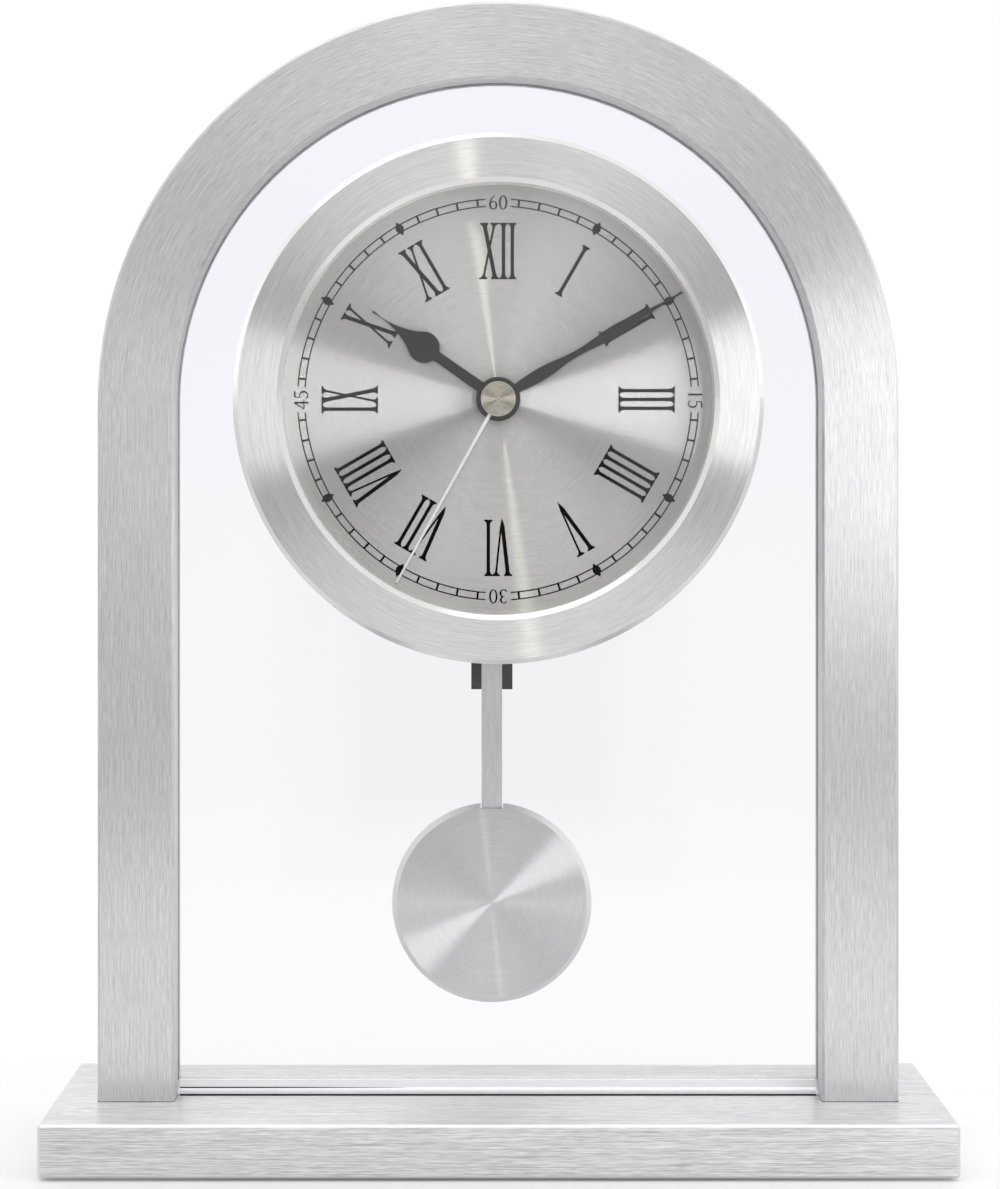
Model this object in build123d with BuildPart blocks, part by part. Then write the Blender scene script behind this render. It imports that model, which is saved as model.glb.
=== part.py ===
from build123d import *
from math import acos, cos, pi, radians, sin
import os

os.makedirs("parts", exist_ok=True)

# A desk pendulum clock: plinth, arch, glass pane, round dial drum and pendulum movement.
# The origin is on the table, under the middle of the plinth. X runs to the right as the dial is
# read, the dial faces -Y and Z is up. All lengths are in millimetres.

# Fits shared by many pieces
running_gap = 0.05
seat_gap = 0.1
loose_gap = 0.3
overrun = 2.0

# Plinth, its pads and the screws that hold the arch
plinth_width = 180.0
plinth_depth = 55.0
plinth_height = 10.5
plinth_edge = 0.5
pad_diameter = 10.0
pad_proud = 0.6
pad_pocket = 0.6
pad_inset = 13.0
leg_screw_diameter = 4.0
leg_screw_grip = 14.0
leg_screw_head_diameter = 7.0
leg_screw_head_height = 4.0
leg_screw_head_sink = 4.8
leg_screw_key = 3.0
leg_screw_from_outside = 5.2

# Arch
arch_inset = 9.0
leg_width = 15.5
arch_depth = 12.0
arc_rise = 141.5
arch_edge = 0.5
arch_reveal = 6.4
groove_depth = 5.0

# Glass pane and the clear channel under it
glass_thickness = 4.0
glass_side_gap = 0.15
glass_end_gap = 0.4
channel_web = 1.0
channel_wall = 0.5
channel_height = 3.2
channel_end_gap = 0.1

# Drum in front of the pane
drum_rise = 0.5
drum_gasket_thickness = 0.4
drum_gasket_width = 8.5
drum_side_gap = 12.4
bezel_proud = 7.0
bezel_face = 9.8
bezel_plate = 1.3
bezel_skirt = 2.0
bezel_edge = 0.95
lens_thickness = 1.5
lens_ledge = 3.1
dial_depth = 7.4
dial_thickness = 0.5
dial_hole_gap = 0.3
spacer_setback = 0.1
case_wall = 2.0
case_floor = 2.0
case_ledge = 4.0

# Hands: lifts are measured from the dial face towards the viewer, gaps from a tip to the opening
hour_hand_lift = 0.85
minute_hand_lift = 2.05
second_hand_lift = 3.05
hand_thickness = 0.35
second_hand_thickness = 0.25
hour_hand_gap = 12.5
hour_hand_bulb = 6.3
hour_hand_stem = 2.3
hour_hand_tip = 0.5
hour_bulb_share = 0.593
stem_waist_share = 0.84
hour_hub_diameter = 8.6
minute_hand_gap = 0.5
minute_hand_widest = 2.6
minute_hand_tip = 0.5
minute_hub_diameter = 8.9
second_hand_gap = 1.1
second_hand_root = 0.7
second_hand_tip = 0.4
second_hub_diameter = 3.6
cap_diameter = 7.05
cap_thickness = 0.9
cap_edge = 0.15
tube_proud = 0.2
hour_hand_angle = 305.0
minute_hand_angle = 59.8
second_hand_angle = 209.0

# Outlines of the two broad hands: place along the hand as a share of its length, half width as a
# share of the widest half width
hour_tail_shares = (0.62, 0.66, 0.70, 0.745, 0.79, 0.835)
hour_half_width_shares = (0.93, 0.76, 0.54, 0.36, 0.22, 0.11)
minute_place_shares = (0.10, 0.15, 0.22, 0.30, 0.37, 0.45, 0.52, 0.57, 0.645, 0.71, 0.77, 0.82, 0.87)
minute_half_width_shares = (0.72, 0.88, 1.0, 0.86, 0.57, 0.47, 0.62, 0.80, 0.93, 0.80, 0.56, 0.37, 0.22)

# Central arbor and tubes
arbor_diameter = 1.0
minute_tube_diameter = 3.4
hour_tube_diameter = 5.2
bush_diameter = 7.9
bush_flange_diameter = 10.0
bush_flange_thickness = 0.6
bush_end_gap = 0.3
nut_across_flats = 10.0
nut_height = 2.0
nut_washer_thickness = 0.4
nut_washer_diameter = 11.0
soft_washer_thickness = 0.6
soft_washer_diameter = 18.0

# Movement case
movement_below = 40.0
movement_depth = 16.0
movement_wall = 1.2
movement_corner = 2.0
post_diameter = 3.0
small_screw_diameter = 1.4
small_screw_head_diameter = 2.8
small_screw_head_height = 1.0
small_screw_grip = 4.0
bridge_left = 14.2
bridge_right = 19.2
bridge_below = 16.8
bridge_post_inset = 2.0
case_screw_inset = 4.2
case_post_diameter = 4.4

# Wheels: tooth counts, modules and layers, from the front plate backwards
second_pinion_teeth = 8
third_wheel_teeth = 64
third_pinion_teeth = 8
minute_wheel_teeth = 60
cannon_teeth = 12
motion_wheel_teeth = 36
motion_pinion_teeth = 10
hour_wheel_teeth = 40
set_pinion_teeth = 10
second_wheel_teeth = 40
intermediate_pinion_teeth = 8
intermediate_wheel_teeth = 48
rotor_pinion_teeth = 8
train_module = 0.25
cannon_module = 0.35
second_module = 0.38
rotor_module = 0.25
wheel_thickness = 0.7
layer_gap = 0.5
pinion_overlap = 0.2
end_shake = 0.4
pivot_depth = 0.7
bridge_gap = 1.0
bridge_thickness = 1.0
third_angle = 230.0
motion_angle = 300.0
set_angle = 310.0

# Tooth form, as shares of the module or of the pitch
addendum_share = 0.85
dedendum_share = 1.15
tooth_share = 0.42
pressure_angle = radians(20)
half_turn = 180.0
flank_steps = 3

# Stepping motor
rotor_magnet_diameter = 5.2
rotor_magnet_length = 2.6
rotor_gap = 0.4
stator_thickness = 1.0
stator_height = 19.0
stator_bar_width = 6.4
stator_arm = 3.0
coil_rotor_gap = 0.9
coil_diameter = 6.0
coil_core_width = 2.6
coil_flange = 0.8
bobbin_wall = 0.4

# Circuit board
board_width = 24.0
board_height = 17.0
board_thickness = 0.8
board_left = 13.5
board_drop = 4.0
chip_size = 6.0
chip_thickness = 1.2
crystal_diameter = 2.6
crystal_length = 8.0

# Battery
battery_diameter = 14.2
battery_length = 49.2
battery_nub_diameter = 5.5
battery_nub_length = 1.3
battery_edge = 0.6
battery_wall_gap = 0.4
bay_gap = 0.4
stator_bay_gap = 1.1
contact_thickness = 0.4
contact_width = 9.0
contact_bow = 0.6
contact_spring_depth = 2.7

# Time-setting knob
set_arbor_diameter = 2.4
set_knob_diameter = 13.0
set_knob_height = 3.5
set_knob_flutes = 20
set_knob_flute = 1.1

# Pendulum
pendulum_offset = -1.2
rod_setback = 8.2
pivot_drop = 20.0
pivot_pin_diameter = 1.6
pivot_boss_diameter = 4.4
pin_grip = 3.8
hanger_thickness = 2.6
hanger_eye_diameter = 5.2
hanger_width = 8.6
hanger_drop = 59.9
hanger_shoulder_drop = 26.0
hanger_channel = 14.0
hanger_peg_drop = 50.5
hanger_peg_diameter = 1.8
pendulum_magnet_diameter = 6.0
pendulum_magnet_drop = 33.0
drive_coil_diameter = 11.2
drive_coil_bore = 3.2
drive_coil_gap = 0.8
rod_width = 4.3
rod_thickness = 0.8
rod_side_gap = 0.1
rod_slot_swing = 7.5
bob_diameter = 41.6
bob_drop = 104.4
bob_face_plate = 1.0
bob_edge = 1.0
bob_notch = 1.1
bob_weight_diameter = 34.0
bob_weight_thickness = 2.0
bob_rod_run = 8.0
bob_screw_diameter = 2.0
bob_screw_head_diameter = 3.8
bob_screw_head_height = 0.8

# Heights and depths that follow from the sizes above
plinth_bottom = pad_proud
plinth_top = plinth_bottom + plinth_height
arc_centre = plinth_top + arc_rise
shaft_height = arc_centre + drum_rise
arch_outer = plinth_width / 2 - arch_inset
arch_inner = arch_outer - leg_width
glass_front = -glass_thickness / 2
glass_back = glass_thickness / 2
arch_front = glass_front - arch_reveal
arch_back = arch_front + arch_depth
glass_radius = arch_inner + groove_depth - glass_end_gap
glass_foot = plinth_top + channel_web

drum_back = glass_front - drum_gasket_thickness
bezel_front = arch_front - bezel_proud
plate_back = bezel_front + bezel_plate
lens_back = plate_back + lens_thickness
dial_face = bezel_front + dial_depth
dial_back = dial_face + dial_thickness
case_floor_front = drum_back - case_floor
bezel_radius = arch_inner - drum_side_gap
opening_radius = bezel_radius - bezel_face
skirt_inner = bezel_radius - bezel_skirt
seat_radius = opening_radius + lens_ledge
case_bore = seat_radius + seat_gap

hour_hand_length = opening_radius - hour_hand_gap
minute_hand_length = opening_radius - minute_hand_gap
second_hand_length = opening_radius - second_hand_gap
hour_hand_back = dial_face - hour_hand_lift
minute_hand_back = dial_face - minute_hand_lift
second_hand_back = dial_face - second_hand_lift
cap_back = second_hand_back - second_hand_thickness
hour_tube_front = hour_hand_back - hand_thickness - tube_proud
minute_tube_front = minute_hand_back - hand_thickness - tube_proud
arbor_front = cap_back - cap_thickness / 2

movement_room = battery_length + battery_nub_length + contact_thickness + contact_spring_depth
movement_width = movement_room + 2 * movement_wall
bay_height = battery_diameter + 2 * bay_gap
movement_above = stator_height / 2 + stator_bay_gap + bay_height + 2 * movement_wall
movement_face = glass_back + soft_washer_thickness
plate_inner = movement_face + movement_wall
movement_back = movement_face + movement_depth
hour_wheel_face = plate_inner + end_shake
motion_wheel_face = hour_wheel_face + wheel_thickness + layer_gap
minute_wheel_face = motion_wheel_face + wheel_thickness + layer_gap
third_wheel_face = minute_wheel_face + wheel_thickness + layer_gap
second_wheel_face = third_wheel_face + wheel_thickness + layer_gap
intermediate_wheel_face = second_wheel_face + wheel_thickness + layer_gap
bridge_face = intermediate_wheel_face + wheel_thickness + bridge_gap
bridge_back = bridge_face + bridge_thickness
cannon_back = minute_wheel_face + wheel_thickness + pinion_overlap / 2
bush_front = dial_back + bush_end_gap

# Wheel centres, from the shaft. The module of the second mesh of each pair follows from the
# distance that the first mesh sets.
third_distance = train_module * (second_pinion_teeth + third_wheel_teeth) / 2
minute_module = 2 * third_distance / (third_pinion_teeth + minute_wheel_teeth)
motion_distance = cannon_module * (cannon_teeth + motion_wheel_teeth) / 2
hour_module = 2 * motion_distance / (motion_pinion_teeth + hour_wheel_teeth)
intermediate_distance = second_module * (second_wheel_teeth + intermediate_pinion_teeth) / 2
rotor_distance = rotor_module * (intermediate_wheel_teeth + rotor_pinion_teeth) / 2
set_distance = cannon_module * (motion_wheel_teeth + set_pinion_teeth) / 2


def away(start, distance, direction):
    """The point at a distance from start, in degrees from X towards Z."""
    turn = radians(direction)
    return (start[0] + distance * cos(turn), start[1] + distance * sin(turn))


shaft = (0, 0)
third_axis = away(shaft, third_distance, third_angle)
motion_axis = away(shaft, motion_distance, motion_angle)
set_axis = away(motion_axis, set_distance, set_angle)
intermediate_axis = away(shaft, intermediate_distance, 0)
rotor_axis = away(intermediate_axis, rotor_distance, 0)
pendulum_axis = (pendulum_offset, -pivot_drop)


def facing(y, centre=shaft):
    """A plane at depth y that looks to the front, with its origin on a wheel centre."""
    return Plane(origin=(centre[0], y, shaft_height + centre[1]), x_dir=(1, 0, 0), z_dir=(0, -1, 0))


def clock_hand(y, angle):
    """A plane at depth y whose local Y points along a hand at this clock angle."""
    turn = radians(angle)
    across = (cos(turn), 0, -sin(turn))
    return Plane(origin=(0, y, shaft_height), x_dir=across, z_dir=(0, -1, 0))


# Plinth: a solid slab with pockets for the pads and stepped holes for the leg screws
pad_places = GridLocations(plinth_width - 2 * pad_inset, plinth_depth - 2 * pad_inset, 2, 2)
leg_screw_x = arch_outer - leg_screw_from_outside
leg_screw_y = (arch_front + arch_back) / 2
leg_screw_places = [(-leg_screw_x, leg_screw_y), (leg_screw_x, leg_screw_y)]

with BuildPart() as plinth:
    with BuildSketch(Plane.XY.offset(plinth_bottom)):
        Rectangle(plinth_width, plinth_depth)
    extrude(amount=plinth_height)
    chamfer(plinth.edges(), plinth_edge)
    with BuildSketch(Plane.XY.offset(plinth_bottom)):
        with pad_places:
            Circle(pad_diameter / 2 + seat_gap)
    extrude(amount=pad_pocket, mode=Mode.SUBTRACT)
    with BuildSketch(Plane.XY.offset(plinth_bottom)):
        with Locations(leg_screw_places):
            Circle(leg_screw_diameter / 2 + seat_gap)
    extrude(amount=plinth_height, mode=Mode.SUBTRACT)
    with BuildSketch(Plane.XY.offset(plinth_bottom)):
        with Locations(leg_screw_places):
            Circle(leg_screw_head_diameter / 2 + seat_gap)
    extrude(amount=leg_screw_head_sink, mode=Mode.SUBTRACT)
plinth.part.label = "base_plinth"
export_step(plinth.part, "parts/base_plinth.step")

with BuildPart() as pads:
    with BuildSketch(Plane.XY):
        with pad_places:
            Circle(pad_diameter / 2)
    extrude(amount=pad_proud + pad_pocket)
pads.part.label = "base_pads"
export_step(pads.part, "parts/base_pads.step")

with BuildPart() as leg_screws:
    with BuildSketch(Plane.XY.offset(plinth_bottom + leg_screw_head_sink)):
        with Locations(leg_screw_places):
            Circle(leg_screw_diameter / 2)
    extrude(amount=plinth_height - leg_screw_head_sink + leg_screw_grip)
    with BuildSketch(Plane.XY.offset(plinth_bottom + leg_screw_head_sink)):
        with Locations(leg_screw_places):
            Circle(leg_screw_head_diameter / 2)
    extrude(amount=-leg_screw_head_height)
    with BuildSketch(Plane.XY.offset(plinth_bottom + leg_screw_head_sink - leg_screw_head_height)):
        with Locations(leg_screw_places):
            RegularPolygon(leg_screw_key / 2, 6, major_radius=False)
    extrude(amount=leg_screw_head_height / 2, mode=Mode.SUBTRACT)
leg_screws.part.label = "arch_screws"
export_step(leg_screws.part, "parts/arch_screws.step")


def arched_face(y, half_width, foot):
    """An upright arched outline at depth y: straight sides from its foot, half a circle on top."""
    with BuildSketch(Plane(origin=(0, y, arc_centre), x_dir=(1, 0, 0), z_dir=(0, -1, 0))) as outline:
        with BuildLine():
            CenterArc((0, 0), half_width, 0, half_turn)
            Line((-half_width, 0), (-half_width, foot - arc_centre))
            Line((-half_width, foot - arc_centre), (half_width, foot - arc_centre))
            Line((half_width, foot - arc_centre), (half_width, 0))
        make_face()
    return outline.sketch


# Arch: one bar bent round the pane, grooved inside, with its feet open so that the pane slides in
with BuildPart() as arch:
    extrude(arched_face(arch_back, arch_outer, plinth_top), amount=arch_depth)
    extrude(arched_face(arch_back, arch_inner, plinth_top), amount=arch_depth, mode=Mode.SUBTRACT)
    front_edges = arch.faces().sort_by(Axis.Y)[0].edges()
    chamfer(front_edges.filter_by(lambda edge: edge.center().Z > plinth_top + arch_edge), arch_edge)
    groove_face = arched_face(glass_back + glass_side_gap, arch_inner + groove_depth, plinth_top)
    extrude(groove_face, amount=glass_thickness + 2 * glass_side_gap, mode=Mode.SUBTRACT)
    with BuildSketch(Plane.XY.offset(plinth_top)):
        with Locations(leg_screw_places):
            Circle(leg_screw_diameter / 2 + running_gap)
    extrude(amount=leg_screw_grip + seat_gap, mode=Mode.SUBTRACT)
arch.part.label = "arch_frame"
export_step(arch.part, "parts/arch_frame.step")

# Pane: one small hole carries the drum in front and the movement behind
with BuildPart() as pane:
    extrude(arched_face(glass_back, glass_radius, glass_foot), amount=glass_thickness)
    with BuildSketch(facing(glass_back)):
        Circle(bush_diameter / 2 + loose_gap)
    extrude(amount=glass_thickness, mode=Mode.SUBTRACT)
pane.part.label = "glass_pane"
export_step(pane.part, "parts/glass_pane.step")

# Clear channel between the legs: the pane's lower edge stands in it
channel_length = 2 * (arch_inner - channel_end_gap)
channel_width = glass_thickness + 2 * (channel_wall + running_gap)
with BuildPart() as channel:
    with BuildSketch(Plane.XY.offset(plinth_top)):
        Rectangle(channel_length, channel_width)
    extrude(amount=channel_height)
    with BuildSketch(Plane.XY.offset(glass_foot)):
        Rectangle(channel_length, glass_thickness + 2 * running_gap)
    extrude(amount=channel_height, mode=Mode.SUBTRACT)
channel.part.label = "glazing_channel"
export_step(channel.part, "parts/glazing_channel.step")

# Bezel: a turned aluminium cap with bright cut edges outside and round the opening
with BuildPart() as bezel:
    with BuildSketch(facing(drum_back)):
        Circle(bezel_radius)
    extrude(amount=drum_back - bezel_front)
    with BuildSketch(facing(drum_back)):
        Circle(skirt_inner)
    extrude(amount=drum_back - plate_back, mode=Mode.SUBTRACT)
    with BuildSketch(facing(plate_back)):
        Circle(opening_radius)
    extrude(amount=bezel_plate, mode=Mode.SUBTRACT)
    chamfer(bezel.faces().sort_by(Axis.Y)[0].edges(), bezel_edge)
bezel.part.label = "bezel_ring"
export_step(bezel.part, "parts/bezel_ring.step")

with BuildPart() as lens:
    with BuildSketch(facing(lens_back)):
        Circle(seat_radius)
    extrude(amount=lens_thickness)
lens.part.label = "front_lens"
export_step(lens.part, "parts/front_lens.step")

with BuildPart() as spacer:
    with BuildSketch(facing(dial_face)):
        Circle(seat_radius)
        Circle(opening_radius + spacer_setback, mode=Mode.SUBTRACT)
    extrude(amount=dial_face - lens_back)
spacer.part.label = "dial_spacer"
export_step(spacer.part, "parts/dial_spacer.step")

with BuildPart() as dial:
    with BuildSketch(facing(dial_back)):
        Circle(seat_radius)
        Circle(hour_tube_diameter / 2 + dial_hole_gap, mode=Mode.SUBTRACT)
    extrude(amount=dial_thickness)
dial.part.label = "dial_plate"
export_step(dial.part, "parts/dial_plate.step")

# Drum case: a moulded tray whose rim centres the bezel and whose ledge carries the dial
with BuildPart() as case:
    with BuildSketch(facing(drum_back)):
        Circle(skirt_inner - seat_gap)
        Circle(bush_diameter / 2 + seat_gap, mode=Mode.SUBTRACT)
    extrude(amount=case_floor)
    with BuildSketch(facing(case_floor_front)):
        Circle(case_bore + case_wall)
        Circle(case_bore, mode=Mode.SUBTRACT)
    extrude(amount=case_floor_front - plate_back)
    with BuildSketch(facing(case_floor_front)):
        Circle(case_bore)
        Circle(case_bore - case_ledge, mode=Mode.SUBTRACT)
    extrude(amount=case_floor_front - dial_back)
case.part.label = "case_drum"
export_step(case.part, "parts/case_drum.step")

with BuildPart() as gasket:
    with BuildSketch(facing(glass_front)):
        Circle(bezel_radius - running_gap)
        Circle(bezel_radius - drum_gasket_width, mode=Mode.SUBTRACT)
    extrude(amount=drum_gasket_thickness)
gasket.part.label = "drum_gasket"
export_step(gasket.part, "parts/drum_gasket.step")

# The threaded bush, its nut and the washers clamp movement, pane and drum together
with BuildPart() as soft_washer:
    with BuildSketch(facing(movement_face)):
        Circle(soft_washer_diameter / 2)
        Circle(bush_diameter / 2 + seat_gap, mode=Mode.SUBTRACT)
    extrude(amount=soft_washer_thickness)
soft_washer.part.label = "soft_washer"
export_step(soft_washer.part, "parts/soft_washer.step")

with BuildPart() as bush:
    with BuildSketch(facing(plate_inner)):
        Circle(bush_flange_diameter / 2)
    extrude(amount=bush_flange_thickness)
    with BuildSketch(facing(plate_inner)):
        Circle(bush_diameter / 2)
    extrude(amount=plate_inner - bush_front)
    with BuildSketch(facing(plate_inner)):
        Circle(hour_tube_diameter / 2 + running_gap)
    extrude(amount=plate_inner - bush_front, mode=Mode.SUBTRACT)
bush.part.label = "threaded_bush"
export_step(bush.part, "parts/threaded_bush.step")

with BuildPart() as nut_washer:
    with BuildSketch(facing(case_floor_front)):
        Circle(nut_washer_diameter / 2)
        Circle(bush_diameter / 2 + seat_gap, mode=Mode.SUBTRACT)
    extrude(amount=nut_washer_thickness)
nut_washer.part.label = "nut_washer"
export_step(nut_washer.part, "parts/nut_washer.step")

with BuildPart() as nut:
    with BuildSketch(facing(case_floor_front - nut_washer_thickness)):
        RegularPolygon(nut_across_flats / 2, 6, major_radius=False)
        Circle(bush_diameter / 2 + running_gap, mode=Mode.SUBTRACT)
    extrude(amount=nut_height)
nut.part.label = "centre_nut"
export_step(nut.part, "parts/centre_nut.step")


# Toothed wheels
def tooth_points(teeth, module, phase):
    """The outline of a toothed wheel: thinned involute teeth, the first one at the phase angle."""
    pitch = module * teeth / 2
    base = pitch * cos(pressure_angle)
    tip = pitch + addendum_share * module
    root = pitch - dedendum_share * module

    def roll(radius):
        lean = acos(min(1, base / radius))
        return sin(lean) / cos(lean) - lean

    half_tooth = tooth_share * pi / teeth
    start = max(base, root)
    flank = [start + (tip - start) * step / flank_steps for step in range(flank_steps + 1)]
    side = [(radius, half_tooth + roll(pitch) - roll(radius)) for radius in flank]
    if root < start:
        side.insert(0, (root, side[0][1]))
    points = []
    for tooth in range(teeth):
        middle = phase + 2 * pi * tooth / teeth
        for radius, half in side:
            points.append((radius * cos(middle - half), radius * sin(middle - half)))
        for radius, half in reversed(side):
            points.append((radius * cos(middle + half), radius * sin(middle + half)))
    return points


def meshing_phase(teeth, phase, other_teeth, direction):
    """The phase that puts a gap of the other wheel on a tooth of this one, along the direction."""
    along = radians(direction)
    return along + pi + pi / other_teeth + (along - phase) * teeth / other_teeth


def toothed(y_face, thickness, centre, teeth, module, phase):
    """Adds a toothed disc whose front face is at y_face."""
    with BuildSketch(facing(y_face + thickness, centre)) as outline:
        with BuildLine():
            Polyline(*tooth_points(teeth, module, phase), close=True)
        make_face()
    extrude(outline.sketch, amount=thickness)


def round_bar(y_front, y_back, centre, diameter, mode=Mode.ADD):
    """Adds or cuts a round bar between two depths."""
    with BuildSketch(facing(y_back, centre)) as outline:
        Circle(diameter / 2)
    extrude(outline.sketch, amount=y_back - y_front, mode=mode)


pinion_thickness = wheel_thickness + 2 * pinion_overlap
pivot_front = plate_inner - pivot_depth
pivot_back = bridge_face + pivot_depth

with BuildPart() as second_arbor:
    round_bar(arbor_front, pivot_back, shaft, arbor_diameter)
second_arbor.part.label = "second_arbor"
export_step(second_arbor.part, "parts/second_arbor.step")

with BuildPart() as second_wheel:
    toothed(third_wheel_face - pinion_overlap, second_wheel_face - third_wheel_face + pinion_overlap,
            shaft, second_pinion_teeth, train_module, 0)
    toothed(second_wheel_face, wheel_thickness, shaft, second_wheel_teeth, second_module, 0)
    round_bar(third_wheel_face - overrun, second_wheel_face + overrun, shaft, arbor_diameter, Mode.SUBTRACT)
second_wheel.part.label = "second_wheel"
export_step(second_wheel.part, "parts/second_wheel.step")

third_wheel_phase = meshing_phase(second_pinion_teeth, 0, third_wheel_teeth, third_angle)
third_pinion_phase = meshing_phase(minute_wheel_teeth, 0, third_pinion_teeth, third_angle)
with BuildPart() as third_wheel:
    round_bar(pivot_front, pivot_back, third_axis, arbor_diameter)
    toothed(minute_wheel_face - pinion_overlap, pinion_thickness, third_axis,
            third_pinion_teeth, minute_module, third_pinion_phase)
    toothed(third_wheel_face, wheel_thickness, third_axis, third_wheel_teeth, train_module, third_wheel_phase)
third_wheel.part.label = "third_wheel"
export_step(third_wheel.part, "parts/third_wheel.step")

with BuildPart() as cannon:
    round_bar(minute_tube_front, cannon_back, shaft, minute_tube_diameter)
    toothed(motion_wheel_face - pinion_overlap, pinion_thickness, shaft, cannon_teeth, cannon_module, 0)
    round_bar(minute_tube_front, cannon_back, shaft, arbor_diameter + 2 * running_gap, Mode.SUBTRACT)
cannon.part.label = "cannon_tube"
export_step(cannon.part, "parts/cannon_tube.step")

with BuildPart() as minute_wheel:
    toothed(minute_wheel_face, wheel_thickness, shaft, minute_wheel_teeth, minute_module, 0)
    round_bar(minute_wheel_face, minute_wheel_face + wheel_thickness, shaft,
              minute_tube_diameter, Mode.SUBTRACT)
minute_wheel.part.label = "minute_wheel"
export_step(minute_wheel.part, "parts/minute_wheel.step")

with BuildPart() as hour_wheel:
    toothed(hour_wheel_face, wheel_thickness, shaft, hour_wheel_teeth, hour_module, 0)
    round_bar(hour_tube_front, hour_wheel_face, shaft, hour_tube_diameter)
    round_bar(hour_tube_front, hour_wheel_face + wheel_thickness, shaft,
              minute_tube_diameter + 2 * running_gap, Mode.SUBTRACT)
hour_wheel.part.label = "hour_wheel"
export_step(hour_wheel.part, "parts/hour_wheel.step")

# The motion wheel runs on a short post of the front plate
motion_post_diameter = arbor_diameter
motion_wheel_phase = meshing_phase(cannon_teeth, 0, motion_wheel_teeth, motion_angle)
motion_pinion_phase = meshing_phase(hour_wheel_teeth, 0, motion_pinion_teeth, motion_angle)
motion_back = motion_wheel_face + wheel_thickness
with BuildPart() as motion_wheel:
    toothed(hour_wheel_face - pinion_overlap, motion_wheel_face - hour_wheel_face + pinion_overlap,
            motion_axis, motion_pinion_teeth, hour_module, motion_pinion_phase)
    toothed(motion_wheel_face, wheel_thickness, motion_axis, motion_wheel_teeth, cannon_module,
            motion_wheel_phase)
    round_bar(plate_inner, motion_back, motion_axis, motion_post_diameter + 2 * running_gap, Mode.SUBTRACT)
motion_wheel.part.label = "motion_wheel"
export_step(motion_wheel.part, "parts/motion_wheel.step")

# The intermediate wheel lies to the right of the shaft, and the rotor to the right of that wheel
intermediate_pinion_phase = meshing_phase(second_wheel_teeth, 0, intermediate_pinion_teeth, 0)
intermediate_wheel_phase = meshing_phase(rotor_pinion_teeth, 0, intermediate_wheel_teeth, half_turn)
with BuildPart() as intermediate_wheel:
    round_bar(pivot_front, pivot_back, intermediate_axis, arbor_diameter)
    toothed(second_wheel_face - pinion_overlap, pinion_thickness, intermediate_axis,
            intermediate_pinion_teeth, second_module, intermediate_pinion_phase)
    toothed(intermediate_wheel_face, wheel_thickness, intermediate_axis,
            intermediate_wheel_teeth, rotor_module, intermediate_wheel_phase)
intermediate_wheel.part.label = "intermediate_wheel"
export_step(intermediate_wheel.part, "parts/intermediate_wheel.step")

# Motor: a disc magnet on the rotor's pinion, between the stator plate's poles
magnet_back = second_wheel_face + wheel_thickness
magnet_face = magnet_back - rotor_magnet_length
with BuildPart() as rotor_pinion:
    round_bar(pivot_front, pivot_back, rotor_axis, arbor_diameter)
    toothed(intermediate_wheel_face - pinion_overlap, pinion_thickness, rotor_axis,
            rotor_pinion_teeth, rotor_module, 0)
rotor_pinion.part.label = "rotor_pinion"
export_step(rotor_pinion.part, "parts/rotor_pinion.step")

with BuildPart() as rotor_magnet:
    round_bar(magnet_face, magnet_back, rotor_axis, rotor_magnet_diameter)
    round_bar(magnet_face, magnet_back, rotor_axis, arbor_diameter, Mode.SUBTRACT)
rotor_magnet.part.label = "rotor_magnet"
export_step(rotor_magnet.part, "parts/rotor_magnet.step")

stator_back = (magnet_face + magnet_back) / 2 + stator_thickness / 2
stator_face = stator_back - stator_thickness
bar_left = rotor_axis[0] - stator_bar_width / 2
coil_x = rotor_axis[0] + (rotor_magnet_diameter + coil_diameter) / 2 + coil_rotor_gap
stator_right = coil_x + coil_core_width / 2
stator_middle = ((bar_left + stator_right) / 2, 0)
arm_z = stator_height / 2 - stator_arm / 2
with BuildPart() as stator:
    with BuildSketch(facing(stator_back, stator_middle)):
        Rectangle(stator_right - bar_left, stator_height)
    extrude(amount=stator_thickness)
    window_left = bar_left + stator_bar_width
    with BuildSketch(facing(stator_back, ((window_left + stator_right) / 2, 0))):
        Rectangle(stator_right - window_left, stator_height - 2 * stator_arm)
    extrude(amount=stator_thickness, mode=Mode.SUBTRACT)
    round_bar(stator_face, stator_back, rotor_axis, rotor_magnet_diameter + 2 * rotor_gap, Mode.SUBTRACT)
stator.part.label = "stator"
export_step(stator.part, "parts/stator.step")

with BuildPart() as coil_core:
    with BuildSketch(facing(stator_back + stator_thickness, (coil_x, 0))):
        Rectangle(coil_core_width, stator_height)
    extrude(amount=stator_thickness)
coil_core.part.label = "coil_core"
export_step(coil_core.part, "parts/coil_core.step")

# The bobbin stands round the core, and the wire is wound between its flanges
coil_y = stator_back + stator_thickness / 2
coil_length = stator_height - 2 * stator_arm - 2 * running_gap
coil_plane = Plane(origin=(coil_x, coil_y, shaft_height), x_dir=(1, 0, 0), z_dir=(0, 0, 1))
tube_width = coil_core_width + 2 * (bobbin_wall + running_gap)
tube_depth = stator_thickness + 2 * (bobbin_wall + running_gap)
with BuildPart() as bobbin:
    with BuildSketch(coil_plane.offset(-coil_length / 2)):
        Rectangle(tube_width, tube_depth)
    extrude(amount=coil_length)
    for flange_start in (-coil_length / 2, coil_length / 2 - coil_flange):
        with BuildSketch(coil_plane.offset(flange_start)):
            Circle(coil_diameter / 2)
        extrude(amount=coil_flange)
    with BuildSketch(coil_plane.offset(-coil_length / 2)):
        Rectangle(coil_core_width + 2 * running_gap, stator_thickness + 2 * running_gap)
    extrude(amount=coil_length, mode=Mode.SUBTRACT)
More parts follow.
